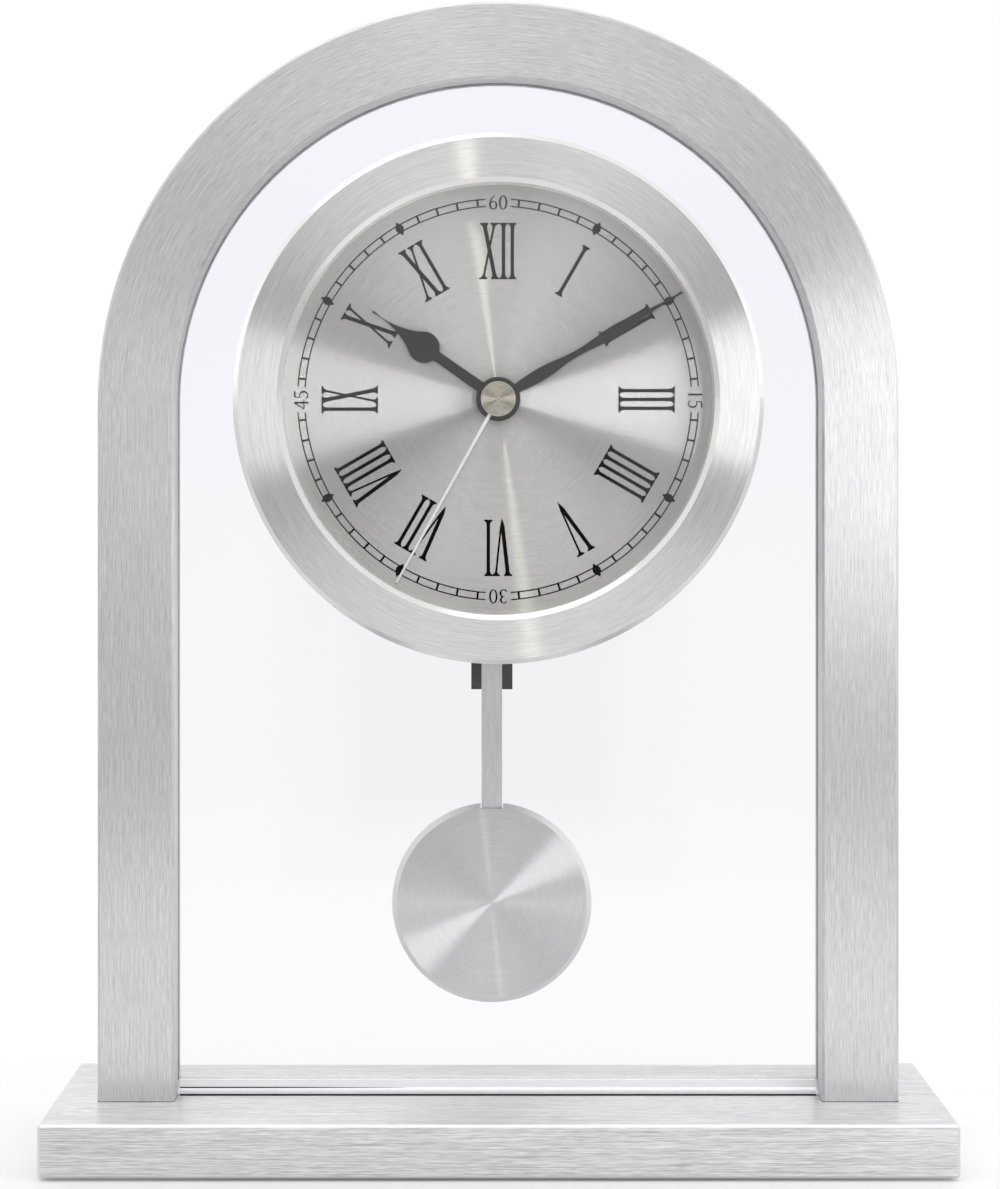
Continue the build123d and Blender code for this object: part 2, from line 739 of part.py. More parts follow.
bobbin.part.label = "coil_bobbin"
export_step(bobbin.part, "parts/coil_bobbin.step")

with BuildPart() as winding:
    with BuildSketch(coil_plane.offset(-coil_length / 2 + coil_flange)):
        Circle(coil_diameter / 2 - running_gap)
        Rectangle(tube_width, tube_depth, mode=Mode.SUBTRACT)
    extrude(amount=coil_length - 2 * coil_flange)
winding.part.label = "coil_winding"
export_step(winding.part, "parts/coil_winding.step")

# Battery bay across the top of the movement, and the places of the posts below it
bay_floor = movement_above - movement_wall - bay_height
battery_z = movement_above - movement_wall - bay_gap - battery_diameter / 2
battery_y = plate_inner + battery_wall_gap + battery_diameter / 2
room_side = movement_room / 2
case_middle = (0, (movement_above - movement_below) / 2)
case_height = movement_above + movement_below
rear_inner = movement_back - movement_wall
hanger_face = glass_back + rod_setback
hanger_back = hanger_face + hanger_thickness
rod_back = hanger_face + rod_thickness
bridge_top = bay_floor - movement_wall - loose_gap
post_top = bridge_top - bridge_post_inset
post_bottom = bridge_post_inset - bridge_below
post_left = bridge_post_inset - bridge_left
post_right = bridge_right - bridge_post_inset
post_places = [(post_left, post_top), (intermediate_axis[0], post_top),
               (post_left, post_bottom), (post_right, post_bottom)]
case_screw_x = movement_width / 2 - case_screw_inset
case_screw_z = case_screw_inset - movement_below
case_screw_places = [(-case_screw_x, case_screw_z), (case_screw_x, case_screw_z)]
stator_rests = [(coil_x - coil_core_width / 2, arm_z), (coil_x - coil_core_width / 2, -arm_z)]
small_screw_hole = small_screw_diameter + 2 * running_gap

# Front plate: posts carry the bridge and the case back, and the pivots run in blind holes
with BuildPart() as front_plate:
    with BuildSketch(facing(plate_inner, case_middle)):
        RectangleRounded(movement_width, case_height, movement_corner)
    extrude(amount=movement_wall)
    for place in post_places:
        round_bar(plate_inner, bridge_face, place, post_diameter)
        round_bar(bridge_back - small_screw_grip, bridge_face, place, small_screw_hole, Mode.SUBTRACT)
    for place in case_screw_places:
        round_bar(plate_inner, rear_inner, place, case_post_diameter)
        round_bar(rear_inner - small_screw_grip, rear_inner, place, small_screw_hole, Mode.SUBTRACT)
    for place in stator_rests:
        round_bar(plate_inner, stator_face, place, post_diameter)
    round_bar(plate_inner, motion_back + pinion_overlap, motion_axis, motion_post_diameter)
    round_bar(plate_inner, hanger_face - loose_gap, pendulum_axis, pivot_boss_diameter)
    round_bar(hanger_face - pin_grip, hanger_face - loose_gap, pendulum_axis,
              pivot_pin_diameter + 2 * running_gap, Mode.SUBTRACT)
    for axis in (third_axis, intermediate_axis, rotor_axis):
        round_bar(pivot_front, plate_inner, axis, arbor_diameter + 2 * running_gap, Mode.SUBTRACT)
    round_bar(pivot_front, plate_inner, set_axis, set_arbor_diameter + 2 * running_gap, Mode.SUBTRACT)
    round_bar(movement_face, plate_inner, shaft, bush_diameter + 2 * running_gap, Mode.SUBTRACT)
    round_bar(plate_inner - bush_flange_thickness, plate_inner, shaft,
              bush_flange_diameter + 2 * running_gap, Mode.SUBTRACT)
front_plate.part.label = "movement_front"
export_step(front_plate.part, "parts/movement_front.step")

# Case back: a deep tray with an open battery bay, a slot below for the swinging hanger, and the
# boss and the post that hold the pendulum's pin and drive coil
hanger_slot = Plane(origin=(pendulum_offset, (hanger_face + hanger_back) / 2, shaft_height - movement_below))
drive_coil_axis = (pendulum_offset, -pendulum_magnet_drop)
drive_coil_face = hanger_back + drive_coil_gap
with BuildPart() as case_back:
    with BuildSketch(facing(movement_back, case_middle)):
        RectangleRounded(movement_width, case_height, movement_corner)
    extrude(amount=movement_back - plate_inner)
    fillet(case_back.faces().sort_by(Axis.Y)[-1].edges(), movement_wall / 2)
    room_top = bay_floor - movement_wall
    room_bottom = movement_wall - movement_below
    with BuildSketch(facing(rear_inner, (0, (room_top + room_bottom) / 2))):
        Rectangle(2 * room_side, room_top - room_bottom)
    extrude(amount=rear_inner - plate_inner, mode=Mode.SUBTRACT)
    bay_top = movement_above - movement_wall
    with BuildSketch(facing(movement_back + overrun, (0, (bay_floor + bay_top) / 2))):
        Rectangle(2 * room_side, bay_top - bay_floor)
    extrude(amount=movement_back + 2 * overrun - plate_inner, mode=Mode.SUBTRACT)
    with BuildSketch(hanger_slot):
        Rectangle(2 * rod_slot_swing, hanger_thickness + 2 * loose_gap)
    extrude(amount=movement_wall, mode=Mode.SUBTRACT)
    round_bar(hanger_back + loose_gap, rear_inner, pendulum_axis, pivot_boss_diameter)
    round_bar(hanger_back + loose_gap, hanger_back + pin_grip, pendulum_axis,
              pivot_pin_diameter + 2 * running_gap, Mode.SUBTRACT)
    round_bar(drive_coil_face, rear_inner, drive_coil_axis, drive_coil_bore - 2 * running_gap)
    round_bar(rear_inner, movement_back, set_axis, set_arbor_diameter + 2 * running_gap, Mode.SUBTRACT)
    for place in case_screw_places:
        round_bar(rear_inner, movement_back, place, small_screw_hole, Mode.SUBTRACT)
case_back.part.label = "movement_back"
export_step(case_back.part, "parts/movement_back.step")


def small_screws(seat_y, places):
    """Small pan screws driven from behind, their heads on a face at seat_y."""
    with BuildPart() as screws:
        for place in places:
            round_bar(seat_y, seat_y + small_screw_head_height, place, small_screw_head_diameter)
            round_bar(seat_y - small_screw_grip + running_gap, seat_y, place, small_screw_diameter)
            round_bar(seat_y + small_screw_head_height / 2, seat_y + small_screw_head_height, place,
                      small_screw_diameter, Mode.SUBTRACT)
    return screws


case_screws = small_screws(movement_back, case_screw_places)
case_screws.part.label = "case_screws"
export_step(case_screws.part, "parts/case_screws.step")

bridge_screws = small_screws(bridge_back, post_places)
bridge_screws.part.label = "bridge_screws"
export_step(bridge_screws.part, "parts/bridge_screws.step")

with BuildPart() as bridge:
    bridge_middle = ((bridge_right - bridge_left) / 2, (bridge_top - bridge_below) / 2)
    with BuildSketch(facing(bridge_back, bridge_middle)):
        RectangleRounded(bridge_left + bridge_right, bridge_top + bridge_below, bridge_post_inset / 2)
    extrude(amount=bridge_thickness)
    for axis in (shaft, third_axis, intermediate_axis, rotor_axis):
        round_bar(bridge_face, bridge_back, axis, arbor_diameter + 2 * running_gap, Mode.SUBTRACT)
    round_bar(bridge_face, bridge_back, set_axis, set_arbor_diameter + 2 * running_gap, Mode.SUBTRACT)
    for place in post_places:
        round_bar(bridge_face, bridge_back, place, small_screw_hole, Mode.SUBTRACT)
bridge.part.label = "train_bridge"
export_step(bridge.part, "parts/train_bridge.step")

# Circuit board on the bridge, with its chip and the quartz crystal's can
board_centre = (-board_left, -board_drop)
board_back = bridge_back + board_thickness
with BuildPart() as board:
    with BuildSketch(facing(board_back, board_centre)):
        Rectangle(board_width, board_height)
    extrude(amount=board_thickness)
board.part.label = "circuit_board"
export_step(board.part, "parts/circuit_board.step")

with BuildPart() as chip:
    with BuildSketch(facing(board_back + chip_thickness, board_centre)):
        Rectangle(chip_size, chip_size)
    extrude(amount=chip_thickness)
    chamfer(chip.faces().sort_by(Axis.Y)[-1].edges(), chip_thickness / 4)
chip.part.label = "control_chip"
export_step(chip.part, "parts/control_chip.step")

crystal_x = -board_left - (board_width + chip_size) / 4
crystal_y = board_back + crystal_diameter / 2
crystal_plane = Plane(origin=(crystal_x, crystal_y, shaft_height - board_drop - crystal_length / 2))
with BuildPart() as crystal:
    with BuildSketch(crystal_plane):
        Circle(crystal_diameter / 2)
    extrude(amount=crystal_length)
crystal.part.label = "quartz_crystal"
export_step(crystal.part, "parts/quartz_crystal.step")

# Battery and the two sheet contacts at the ends of its bay
nub_end = room_side - contact_thickness
battery_end = nub_end - battery_nub_length
battery_start = battery_end - battery_length
battery_centre = (battery_start, battery_y, shaft_height + battery_z)
battery_plane = Plane(origin=battery_centre, x_dir=(0, 1, 0), z_dir=(1, 0, 0))
with BuildPart() as battery:
    with BuildSketch(battery_plane):
        Circle(battery_diameter / 2)
    extrude(amount=battery_length)
    chamfer(battery.edges().filter_by(GeomType.CIRCLE), battery_edge)
    with BuildSketch(battery_plane.offset(battery_length)):
        Circle(battery_nub_diameter / 2)
    extrude(amount=battery_nub_length)
battery.part.label = "battery"
export_step(battery.part, "parts/battery.step")

contact_base = Plane.XY.offset(shaft_height + battery_z - contact_width / 2)
with BuildPart() as plus_contact:
    with BuildSketch(contact_base):
        with Locations((room_side - contact_thickness / 2, battery_y)):
            Rectangle(contact_thickness, contact_width)
    extrude(amount=contact_width)
plus_contact.part.label = "battery_contact_plus"
export_step(plus_contact.part, "parts/battery_contact_plus.step")

bow_tip = battery_start - running_gap
bow_start = contact_thickness - room_side
bow_low = battery_y - contact_width / 2
bow_high = battery_y + contact_width / 2
with BuildPart() as minus_contact:
    with BuildSketch(contact_base):
        with Locations((contact_thickness / 2 - room_side, battery_y)):
            Rectangle(contact_thickness, contact_width)
        with BuildLine():
            ThreePointArc((bow_start, bow_low), (bow_tip, battery_y), (bow_start, bow_high))
            Line((bow_start, bow_high), (bow_start, bow_high - contact_bow))
            ThreePointArc((bow_start, bow_high - contact_bow), (bow_tip - contact_thickness, battery_y),
                          (bow_start, bow_low + contact_bow))
            Line((bow_start, bow_low + contact_bow), (bow_start, bow_low))
        make_face()
    extrude(amount=contact_width)
minus_contact.part.label = "battery_contact_minus"
export_step(minus_contact.part, "parts/battery_contact_minus.step")

# Time-setting arbor and its knob outside the case back
knob_face = movement_back + loose_gap
set_arbor_back = knob_face + set_knob_height / 2
set_pinion_phase = meshing_phase(motion_wheel_teeth, motion_wheel_phase, set_pinion_teeth, set_angle)
with BuildPart() as set_arbor:
    round_bar(pivot_front, set_arbor_back, set_axis, set_arbor_diameter)
    toothed(motion_wheel_face - pinion_overlap, pinion_thickness, set_axis, set_pinion_teeth,
            cannon_module, set_pinion_phase)
set_arbor.part.label = "set_arbor"
export_step(set_arbor.part, "parts/set_arbor.step")

with BuildPart() as set_knob:
    round_bar(knob_face, knob_face + set_knob_height, set_axis, set_knob_diameter)
    chamfer(set_knob.faces().sort_by(Axis.Y)[-1].edges(), set_knob_flute / 2)
    with BuildSketch(facing(knob_face + set_knob_height, set_axis)):
        with PolarLocations(set_knob_diameter / 2, set_knob_flutes):
            Circle(set_knob_flute / 2)
    extrude(amount=set_knob_height, mode=Mode.SUBTRACT)
    round_bar(knob_face, set_arbor_back, set_axis, set_arbor_diameter, Mode.SUBTRACT)
set_knob.part.label = "set_knob"
export_step(set_knob.part, "parts/set_knob.step")

# Hands, cut from thin sheet
hour_half_widest = hour_hand_bulb / 2
bulb_place = hour_hand_length * hour_bulb_share
stem_waist = hour_hand_stem * stem_waist_share
with BuildPart() as hour_hand:
    with BuildSketch(clock_hand(hour_hand_back, hour_hand_angle)):
        Circle(hour_hub_diameter / 2)
        with BuildLine():
            Polyline((-hour_hand_stem / 2, 0), (-stem_waist / 2, bulb_place),
                     (stem_waist / 2, bulb_place), (hour_hand_stem / 2, 0), close=True)
        make_face()
        with Locations((0, bulb_place)):
            Circle(hour_half_widest)
        with BuildLine():
            right = [(hour_half_widest * half, hour_hand_length * along)
                     for along, half in zip(hour_tail_shares, hour_half_width_shares)]
            right.append((hour_hand_tip / 2, hour_hand_length))
            left = [(-x, y) for x, y in reversed(right)]
            Spline(*right)
            Line(right[-1], left[0])
            Spline(*left)
            Line(left[-1], right[0])
        make_face()
        Circle(hour_tube_diameter / 2, mode=Mode.SUBTRACT)
    extrude(amount=hand_thickness)
hour_hand.part.label = "hour_hand"
export_step(hour_hand.part, "parts/hour_hand.step")

minute_half_widest = minute_hand_widest / 2
with BuildPart() as minute_hand:
    with BuildSketch(clock_hand(minute_hand_back, minute_hand_angle)):
        Circle(minute_hub_diameter / 2)
        with BuildLine():
            right = [(minute_half_widest * half, minute_hand_length * along)
                     for along, half in zip(minute_place_shares, minute_half_width_shares)]
            right.insert(0, (minute_half_widest * minute_half_width_shares[0], 0))
            right.append((minute_hand_tip / 2, minute_hand_length))
            left = [(-x, y) for x, y in reversed(right)]
            Spline(*right)
            Line(right[-1], left[0])
            Spline(*left)
            Line(left[-1], right[0])
        make_face()
        Circle(minute_tube_diameter / 2, mode=Mode.SUBTRACT)
    extrude(amount=hand_thickness)
minute_hand.part.label = "minute_hand"
export_step(minute_hand.part, "parts/minute_hand.step")

with BuildPart() as second_hand:
    with BuildSketch(clock_hand(second_hand_back, second_hand_angle)):
        with BuildLine():
            Polyline((-second_hand_root / 2, 0), (-second_hand_tip / 2, second_hand_length),
                     (second_hand_tip / 2, second_hand_length), (second_hand_root / 2, 0), close=True)
        make_face()
        Circle(second_hub_diameter / 2)
        Circle(arbor_diameter / 2, mode=Mode.SUBTRACT)
    extrude(amount=second_hand_thickness)
second_hand.part.label = "second_hand"
export_step(second_hand.part, "parts/second_hand.step")

with BuildPart() as hand_cap:
    round_bar(cap_back - cap_thickness, cap_back, shaft, cap_diameter)
    chamfer(hand_cap.faces().sort_by(Axis.Y)[0].edges(), cap_edge)
    round_bar(arbor_front, cap_back, shaft, arbor_diameter, Mode.SUBTRACT)
hand_cap.part.label = "hand_cap"
export_step(hand_cap.part, "parts/hand_cap.step")

# Pendulum: a moulded hanger on a pin, a strip rod hooked on its peg, a spun disc and a steel weight
pin_front = hanger_face - pin_grip
pin_back = hanger_back + pin_grip
with BuildPart() as pivot_pin:
    round_bar(pin_front, pin_back, pendulum_axis, pivot_pin_diameter)
pivot_pin.part.label = "pivot_pin"
export_step(pivot_pin.part, "parts/pivot_pin.step")

shoulder_z = -hanger_shoulder_drop
hanger_foot = -hanger_drop
channel_top = hanger_foot + hanger_channel
magnet_axis = (pendulum_offset, -pendulum_magnet_drop)
peg_axis = (pendulum_offset, -hanger_peg_drop)
with BuildPart() as hanger:
    round_bar(hanger_face, hanger_back, pendulum_axis, hanger_eye_diameter)
    with BuildSketch(facing(hanger_back, (pendulum_offset, (shoulder_z - pivot_drop) / 2))):
        Rectangle(hanger_eye_diameter, hanger_shoulder_drop - pivot_drop)
    extrude(amount=hanger_thickness)
    with BuildSketch(facing(hanger_back, (pendulum_offset, (shoulder_z + hanger_foot) / 2))):
        Rectangle(hanger_width, hanger_drop - hanger_shoulder_drop)
    extrude(amount=hanger_thickness)
    with BuildSketch(facing(hanger_face + rod_thickness, (pendulum_offset, (channel_top + hanger_foot) / 2))):
        Rectangle(rod_width + 2 * rod_side_gap, hanger_channel)
    extrude(amount=rod_thickness, mode=Mode.SUBTRACT)
    round_bar(hanger_face, rod_back, peg_axis, hanger_peg_diameter)
    round_bar(hanger_face, hanger_back, pendulum_axis, pivot_pin_diameter + 2 * running_gap, Mode.SUBTRACT)
    round_bar(hanger_face, hanger_back, magnet_axis, pendulum_magnet_diameter, Mode.SUBTRACT)
hanger.part.label = "pendulum_hanger"
export_step(hanger.part, "parts/pendulum_hanger.step")

with BuildPart() as pendulum_magnet:
    round_bar(hanger_face, hanger_back, magnet_axis, pendulum_magnet_diameter)
pendulum_magnet.part.label = "pendulum_magnet"
export_step(pendulum_magnet.part, "parts/pendulum_magnet.step")

with BuildPart() as drive_coil:
    round_bar(drive_coil_face, rear_inner, drive_coil_axis, drive_coil_diameter)
    round_bar(drive_coil_face, rear_inner, drive_coil_axis, drive_coil_bore, Mode.SUBTRACT)
drive_coil.part.label = "drive_coil"
export_step(drive_coil.part, "parts/drive_coil.step")

bob_axis = (pendulum_offset, -bob_drop)
rod_top = channel_top - seat_gap
rod_foot = -bob_drop - bob_rod_run
with BuildPart() as rod:
    with BuildSketch(facing(rod_back, (pendulum_offset, (rod_top + rod_foot) / 2))):
        Rectangle(rod_width, rod_top - rod_foot)
    extrude(amount=rod_thickness)
    round_bar(hanger_face, rod_back, peg_axis, hanger_peg_diameter + 2 * running_gap, Mode.SUBTRACT)
    round_bar(hanger_face, rod_back, bob_axis, bob_screw_diameter + 2 * running_gap, Mode.SUBTRACT)
rod.part.label = "pendulum_rod"
export_step(rod.part, "parts/pendulum_rod.step")

bob_front = hanger_face - bob_face_plate
bob_radius = bob_diameter / 2
groove_foot = rod_foot - seat_gap
groove_top = bob_radius - bob_drop + overrun
bob_screw_front = hanger_face - bob_face_plate / 2
with BuildPart() as bob_face:
    round_bar(bob_front, rod_back, bob_axis, bob_diameter)
    chamfer(bob_face.faces().sort_by(Axis.Y)[0].edges(), bob_edge)
    with BuildSketch(facing(rod_back, (pendulum_offset, (groove_foot + groove_top) / 2))):
        Rectangle(rod_width + 2 * rod_side_gap, groove_top - groove_foot)
    extrude(amount=rod_thickness, mode=Mode.SUBTRACT)
    with BuildSketch(facing(rod_back, (pendulum_offset, bob_radius - bob_drop - bob_notch + overrun))):
        Rectangle(rod_width + 2 * (rod_side_gap + seat_gap), 2 * overrun)
    extrude(amount=bob_face_plate + rod_thickness, mode=Mode.SUBTRACT)
    round_bar(bob_screw_front, hanger_face, bob_axis, bob_screw_diameter + 2 * running_gap, Mode.SUBTRACT)
bob_face.part.label = "bob_face"
export_step(bob_face.part, "parts/bob_face.step")

weight_back = rod_back + bob_weight_thickness
with BuildPart() as bob_weight:
    round_bar(rod_back, weight_back, bob_axis, bob_weight_diameter)
    chamfer(bob_weight.faces().sort_by(Axis.Y)[-1].edges(), bob_weight_thickness / 4)
    round_bar(rod_back, weight_back, bob_axis, bob_screw_diameter + 2 * running_gap, Mode.SUBTRACT)
bob_weight.part.label = "bob_weight"
export_step(bob_weight.part, "parts/bob_weight.step")

with BuildPart() as bob_screw:
    round_bar(bob_screw_front + running_gap, weight_back, bob_axis, bob_screw_diameter)
    round_bar(weight_back, weight_back + bob_screw_head_height, bob_axis, bob_screw_head_diameter)
    with BuildSketch(facing(weight_back + bob_screw_head_height, bob_axis)):
        Rectangle(bob_screw_head_diameter, bob_screw_head_height / 2)
        Rectangle(bob_screw_head_height / 2, bob_screw_head_diameter)
    extrude(amount=bob_screw_head_height / 2, mode=Mode.SUBTRACT)
bob_screw.part.label = "bob_screw"
export_step(bob_screw.part, "parts/bob_screw.step")
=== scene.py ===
import math

import bmesh
import bpy
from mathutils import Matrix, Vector


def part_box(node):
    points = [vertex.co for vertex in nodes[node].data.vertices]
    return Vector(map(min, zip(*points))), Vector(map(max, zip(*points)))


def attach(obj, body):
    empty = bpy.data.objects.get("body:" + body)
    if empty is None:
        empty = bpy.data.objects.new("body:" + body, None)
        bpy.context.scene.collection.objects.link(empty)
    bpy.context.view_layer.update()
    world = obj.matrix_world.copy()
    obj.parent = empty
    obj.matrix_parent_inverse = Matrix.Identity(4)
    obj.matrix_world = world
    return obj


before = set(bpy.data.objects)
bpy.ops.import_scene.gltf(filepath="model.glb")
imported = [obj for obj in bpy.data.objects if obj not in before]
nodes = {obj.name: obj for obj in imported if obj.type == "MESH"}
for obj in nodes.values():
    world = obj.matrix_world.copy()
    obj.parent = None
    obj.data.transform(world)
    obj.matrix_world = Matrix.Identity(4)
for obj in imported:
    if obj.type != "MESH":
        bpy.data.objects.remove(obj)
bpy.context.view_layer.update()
MM = 0.001


# The plinth is a sawn bar of solid aluminium alloy. Its faces are rubbed lengthwise on an abrasive
# belt, which leaves straight lines from end to end, and its long edges are broken with a small
# bevel that catches the light. A clear anodised coat seals it.
def colour(code):
    """An sRGB hex colour as the linear colour that a shader takes."""
    values = [int(code[i:i + 2], 16) / 255 for i in (1, 3, 5)]
    linear = [v / 12.92 if v <= 0.04045 else ((v + 0.055) / 1.055) ** 2.4 for v in values]
    return linear + [1.0]


def add(tree, kind, settings, inputs):
    """Adds one node. settings are its properties. inputs go to its sockets, by name or in order:
    values, other sockets, or nodes whose first output is joined to it."""
    node = tree.nodes.new("ShaderNode" + kind)
    for name, value in settings.items():
        setattr(node, name, value)
    for name, value in inputs.items() if isinstance(inputs, dict) else enumerate(inputs):
        if isinstance(value, bpy.types.Node):
            value = value.outputs[0]
        if isinstance(value, bpy.types.NodeSocket):
            tree.links.new(value, node.inputs[name])
        else:
            node.inputs[name].default_value = value
    return node


def start(name):
    """A new empty material, its node tree, its place on the piece, and that point's x, y and z in
    millimetres."""
    material = bpy.data.materials.new(name)
    material.use_nodes = True
    tree = material.node_tree
    tree.nodes.clear()
    place = add(tree, "TexCoord", {}, {})
    scaled = add(tree, "VectorMath", {"operation": "SCALE"},
                 {0: place.outputs["Object"], "Scale": 1 / MM})
    return material, tree, place, add(tree, "SeparateXYZ", {}, [scaled]).outputs


# Noise stays mostly between these two values.
noise_span = (0.3, 0.7)


def brushed_metal(tree, lines, dashes, tangent, dark, light, gloss, relief, sheen_share, edge=None):
    """Metal with fine parallel lines. lines is the point, divided by a line's length and width,
    and dashes is how much finer the short marks between them are. tangent is their direction, and
    gloss is how far light spreads across the lines and how far along them. sheen_share is the part
    of the light that the lines gather, and edge is a mask, a colour and a roughness for edges that
    are worked in another way."""
    marks_share, darkest, lightest = 0.45, 0.38, 0.62
    haze_on_dark, haze_on_light = 0.56, 0.5
    scratch_depth = 0.02 * MM
    edge_wear = 0.03
    scratches = add(tree, "TexNoise", {}, {
        "Vector": lines, "Scale": 1.0, "Detail": 2.0, "Roughness": 0.6})
    finer = add(tree, "VectorMath", {"operation": "MULTIPLY"}, [lines, dashes])
    marks = add(tree, "TexNoise", {}, {
        "Vector": finer, "Scale": 1.0, "Detail": 1.0, "Roughness": 0.5})
    grain = add(tree, "Mix", {}, {0: marks_share, 2: scratches, 3: marks})
    shade = add(tree, "MapRange", {}, [grain, darkest, lightest])
    tone = add(tree, "Mix", {"data_type": "RGBA"}, {0: shade, 6: colour(dark), 7: colour(light)})
    bump = add(tree, "Bump", {}, {
        "Height": scratches, "Strength": relief, "Distance": scratch_depth})
    turned = add(tree, "VectorTransform", {
        "vector_type": "VECTOR", "convert_from": "OBJECT", "convert_to": "WORLD"}, [tangent])
    haze = add(tree, "BsdfPrincipled", {}, {
        "Base Color": tone.outputs[2], "Metallic": 1.0,
        "Roughness": add(tree, "MapRange", {}, {0: shade, 3: haze_on_dark, 4: haze_on_light}),
        "Anisotropic": 0.8, "Anisotropic Rotation": 0.25, "Tangent": turned, "Normal": bump})
    across, along = gloss
    sheen = add(tree, "BsdfAnisotropic", {"distribution": "GGX"}, {
        "Color": tone.outputs[2], "Roughness": math.sqrt(math.sqrt(across * along)),
        "Anisotropy": 1 - math.sqrt(along / across), "Tangent": turned, "Normal": bump})
    surface = add(tree, "MixShader", {}, [sheen_share, haze, sheen])
    if edge:
        on_edge, edge_colour, edge_roughness = edge
        worked = add(tree, "BsdfPrincipled", {}, {
            "Base Color": colour(edge_colour), "Metallic": 1.0,
            "Roughness": add(tree, "MapRange", {}, [
                scratches, *noise_span, edge_roughness - edge_wear, edge_roughness + edge_wear])})
        surface = add(tree, "MixShader", {}, [on_edge, surface, worked])
    add(tree, "OutputMaterial", {}, [surface])


def dress(material, *names):
    """Gives the named pieces this material in place of their plain one."""
    for name in names:
        mesh = nodes[name].data
        mesh.materials.clear()
        mesh.materials.append(material)


# Brushed aluminium: grey white, with straight lines 15 mm long and short dashes among them. Real
# ones are thinner than a hair, and are drawn coarser here so that they show. On the two sawn ends
# they run from front to back.
plinth_metal, tree, place, (x, y, z) = start("belt_brushed_aluminium")
end_tilt, bevel_tilt = 0.72, 0.97
tilt = add(tree, "VectorMath", {"operation": "ABSOLUTE"}, [place.outputs["Normal"]])
x_tilt, y_tilt, z_tilt = add(tree, "SeparateXYZ", {}, [tilt]).outputs
is_end = add(tree, "Math", {"operation": "GREATER_THAN"}, [x_tilt, end_tilt])
flattest = add(tree, "Math", {"operation": "MAXIMUM"}, [
    x_tilt, add(tree, "Math", {"operation": "MAXIMUM"}, [y_tilt, z_tilt])])
bevel = add(tree, "Math", {"operation": "LESS_THAN"}, [flattest, bevel_tilt])
lengthwise = add(tree, "CombineXYZ", {}, [x, z, y])
endwise = add(tree, "CombineXYZ", {}, [y, z, x])
run = add(tree, "Mix", {"data_type": "VECTOR"}, {0: is_end, 4: lengthwise, 5: endwise})
not_end = add(tree, "Math", {"operation": "SUBTRACT"}, [1.0, is_end])
direction = add(tree, "CombineXYZ", {}, [not_end, is_end])
line_length, line_width = 15.0, 0.14
straight_dashes = (4.5, 1.3, 1.3)
lines = add(tree, "VectorMath", {"operation": "DIVIDE"}, [
    run.outputs[1], (line_length, line_width, line_width)])
brushed_metal(tree, lines, straight_dashes, direction, dark="#BDBEC0", light="#F5F5F5",
              gloss=(0.3, 0.05), relief=0.1, sheen_share=0.7, edge=(bevel, "#E0E1E2", 0.5))
dress(plinth_metal, "base_plinth")


# The arch is one flat aluminium bar cut to shape, and a screw from below holds each foot on the
# plinth. Its face is rubbed along its own length, so that the lines turn with the arch and run
# down both legs. They are drawn coarser than they are, like the plinth's.
arch_metal, tree, place, (x, y, z) = start("arch_brushed_aluminium")
arch_low, arch_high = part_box("arch_frame")
arch_radius = arch_high.x / MM
arc_centre = arch_high.z / MM - arch_radius
above = add(tree, "Math", {"operation": "SUBTRACT"}, [z, arc_centre])
risen = add(tree, "Math", {"operation": "MAXIMUM"}, [above, 0.0])
sunk = add(tree, "Math", {"operation": "MINIMUM"}, [above, 0.0])
spoke = add(tree, "CombineXYZ", {}, {0: x, 2: risen})
across = add(tree, "VectorMath", {"operation": "LENGTH"}, [spoke]).outputs["Value"]
turn = add(tree, "Math", {"operation": "ARCTAN2"}, [risen, x])
side = add(tree, "Math", {"operation": "SIGN"}, [x])
down_leg = add(tree, "Math", {"operation": "MULTIPLY"}, [side, sunk])
path = add(tree, "Math", {"operation": "MULTIPLY_ADD"}, [turn, arch_radius, down_leg])
bearing = add(tree, "VectorMath", {"operation": "CROSS_PRODUCT"}, [spoke, (0.0, 1.0, 0.0)])
bearing = add(tree, "VectorMath", {"operation": "NORMALIZE"}, [bearing])
line_length, line_width = 14.0, 0.12
lines = add(tree, "VectorMath", {"operation": "DIVIDE"}, [
    add(tree, "CombineXYZ", {}, [path, across, y]), (line_length, line_width, line_width)])
brushed_metal(tree, lines, straight_dashes, bearing, dark="#C9CACB", light="#EEEEEE",
              gloss=(0.2, 0.03), relief=0.03, sheen_share=0.4)
dress(arch_metal, "arch_frame")


# The bezel is turned from aluminium on a lathe and brushed as it spins, so that its lines go round
# it. Its outer and inner edges are cut bright with a diamond tool, and it sits over the drum's rim.
def middle_of(node):
    """The middle of a round piece in x and z, in millimetres."""
    low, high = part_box(node)
    return (low.x + high.x) / 2 / MM, (low.z + high.z) / 2 / MM


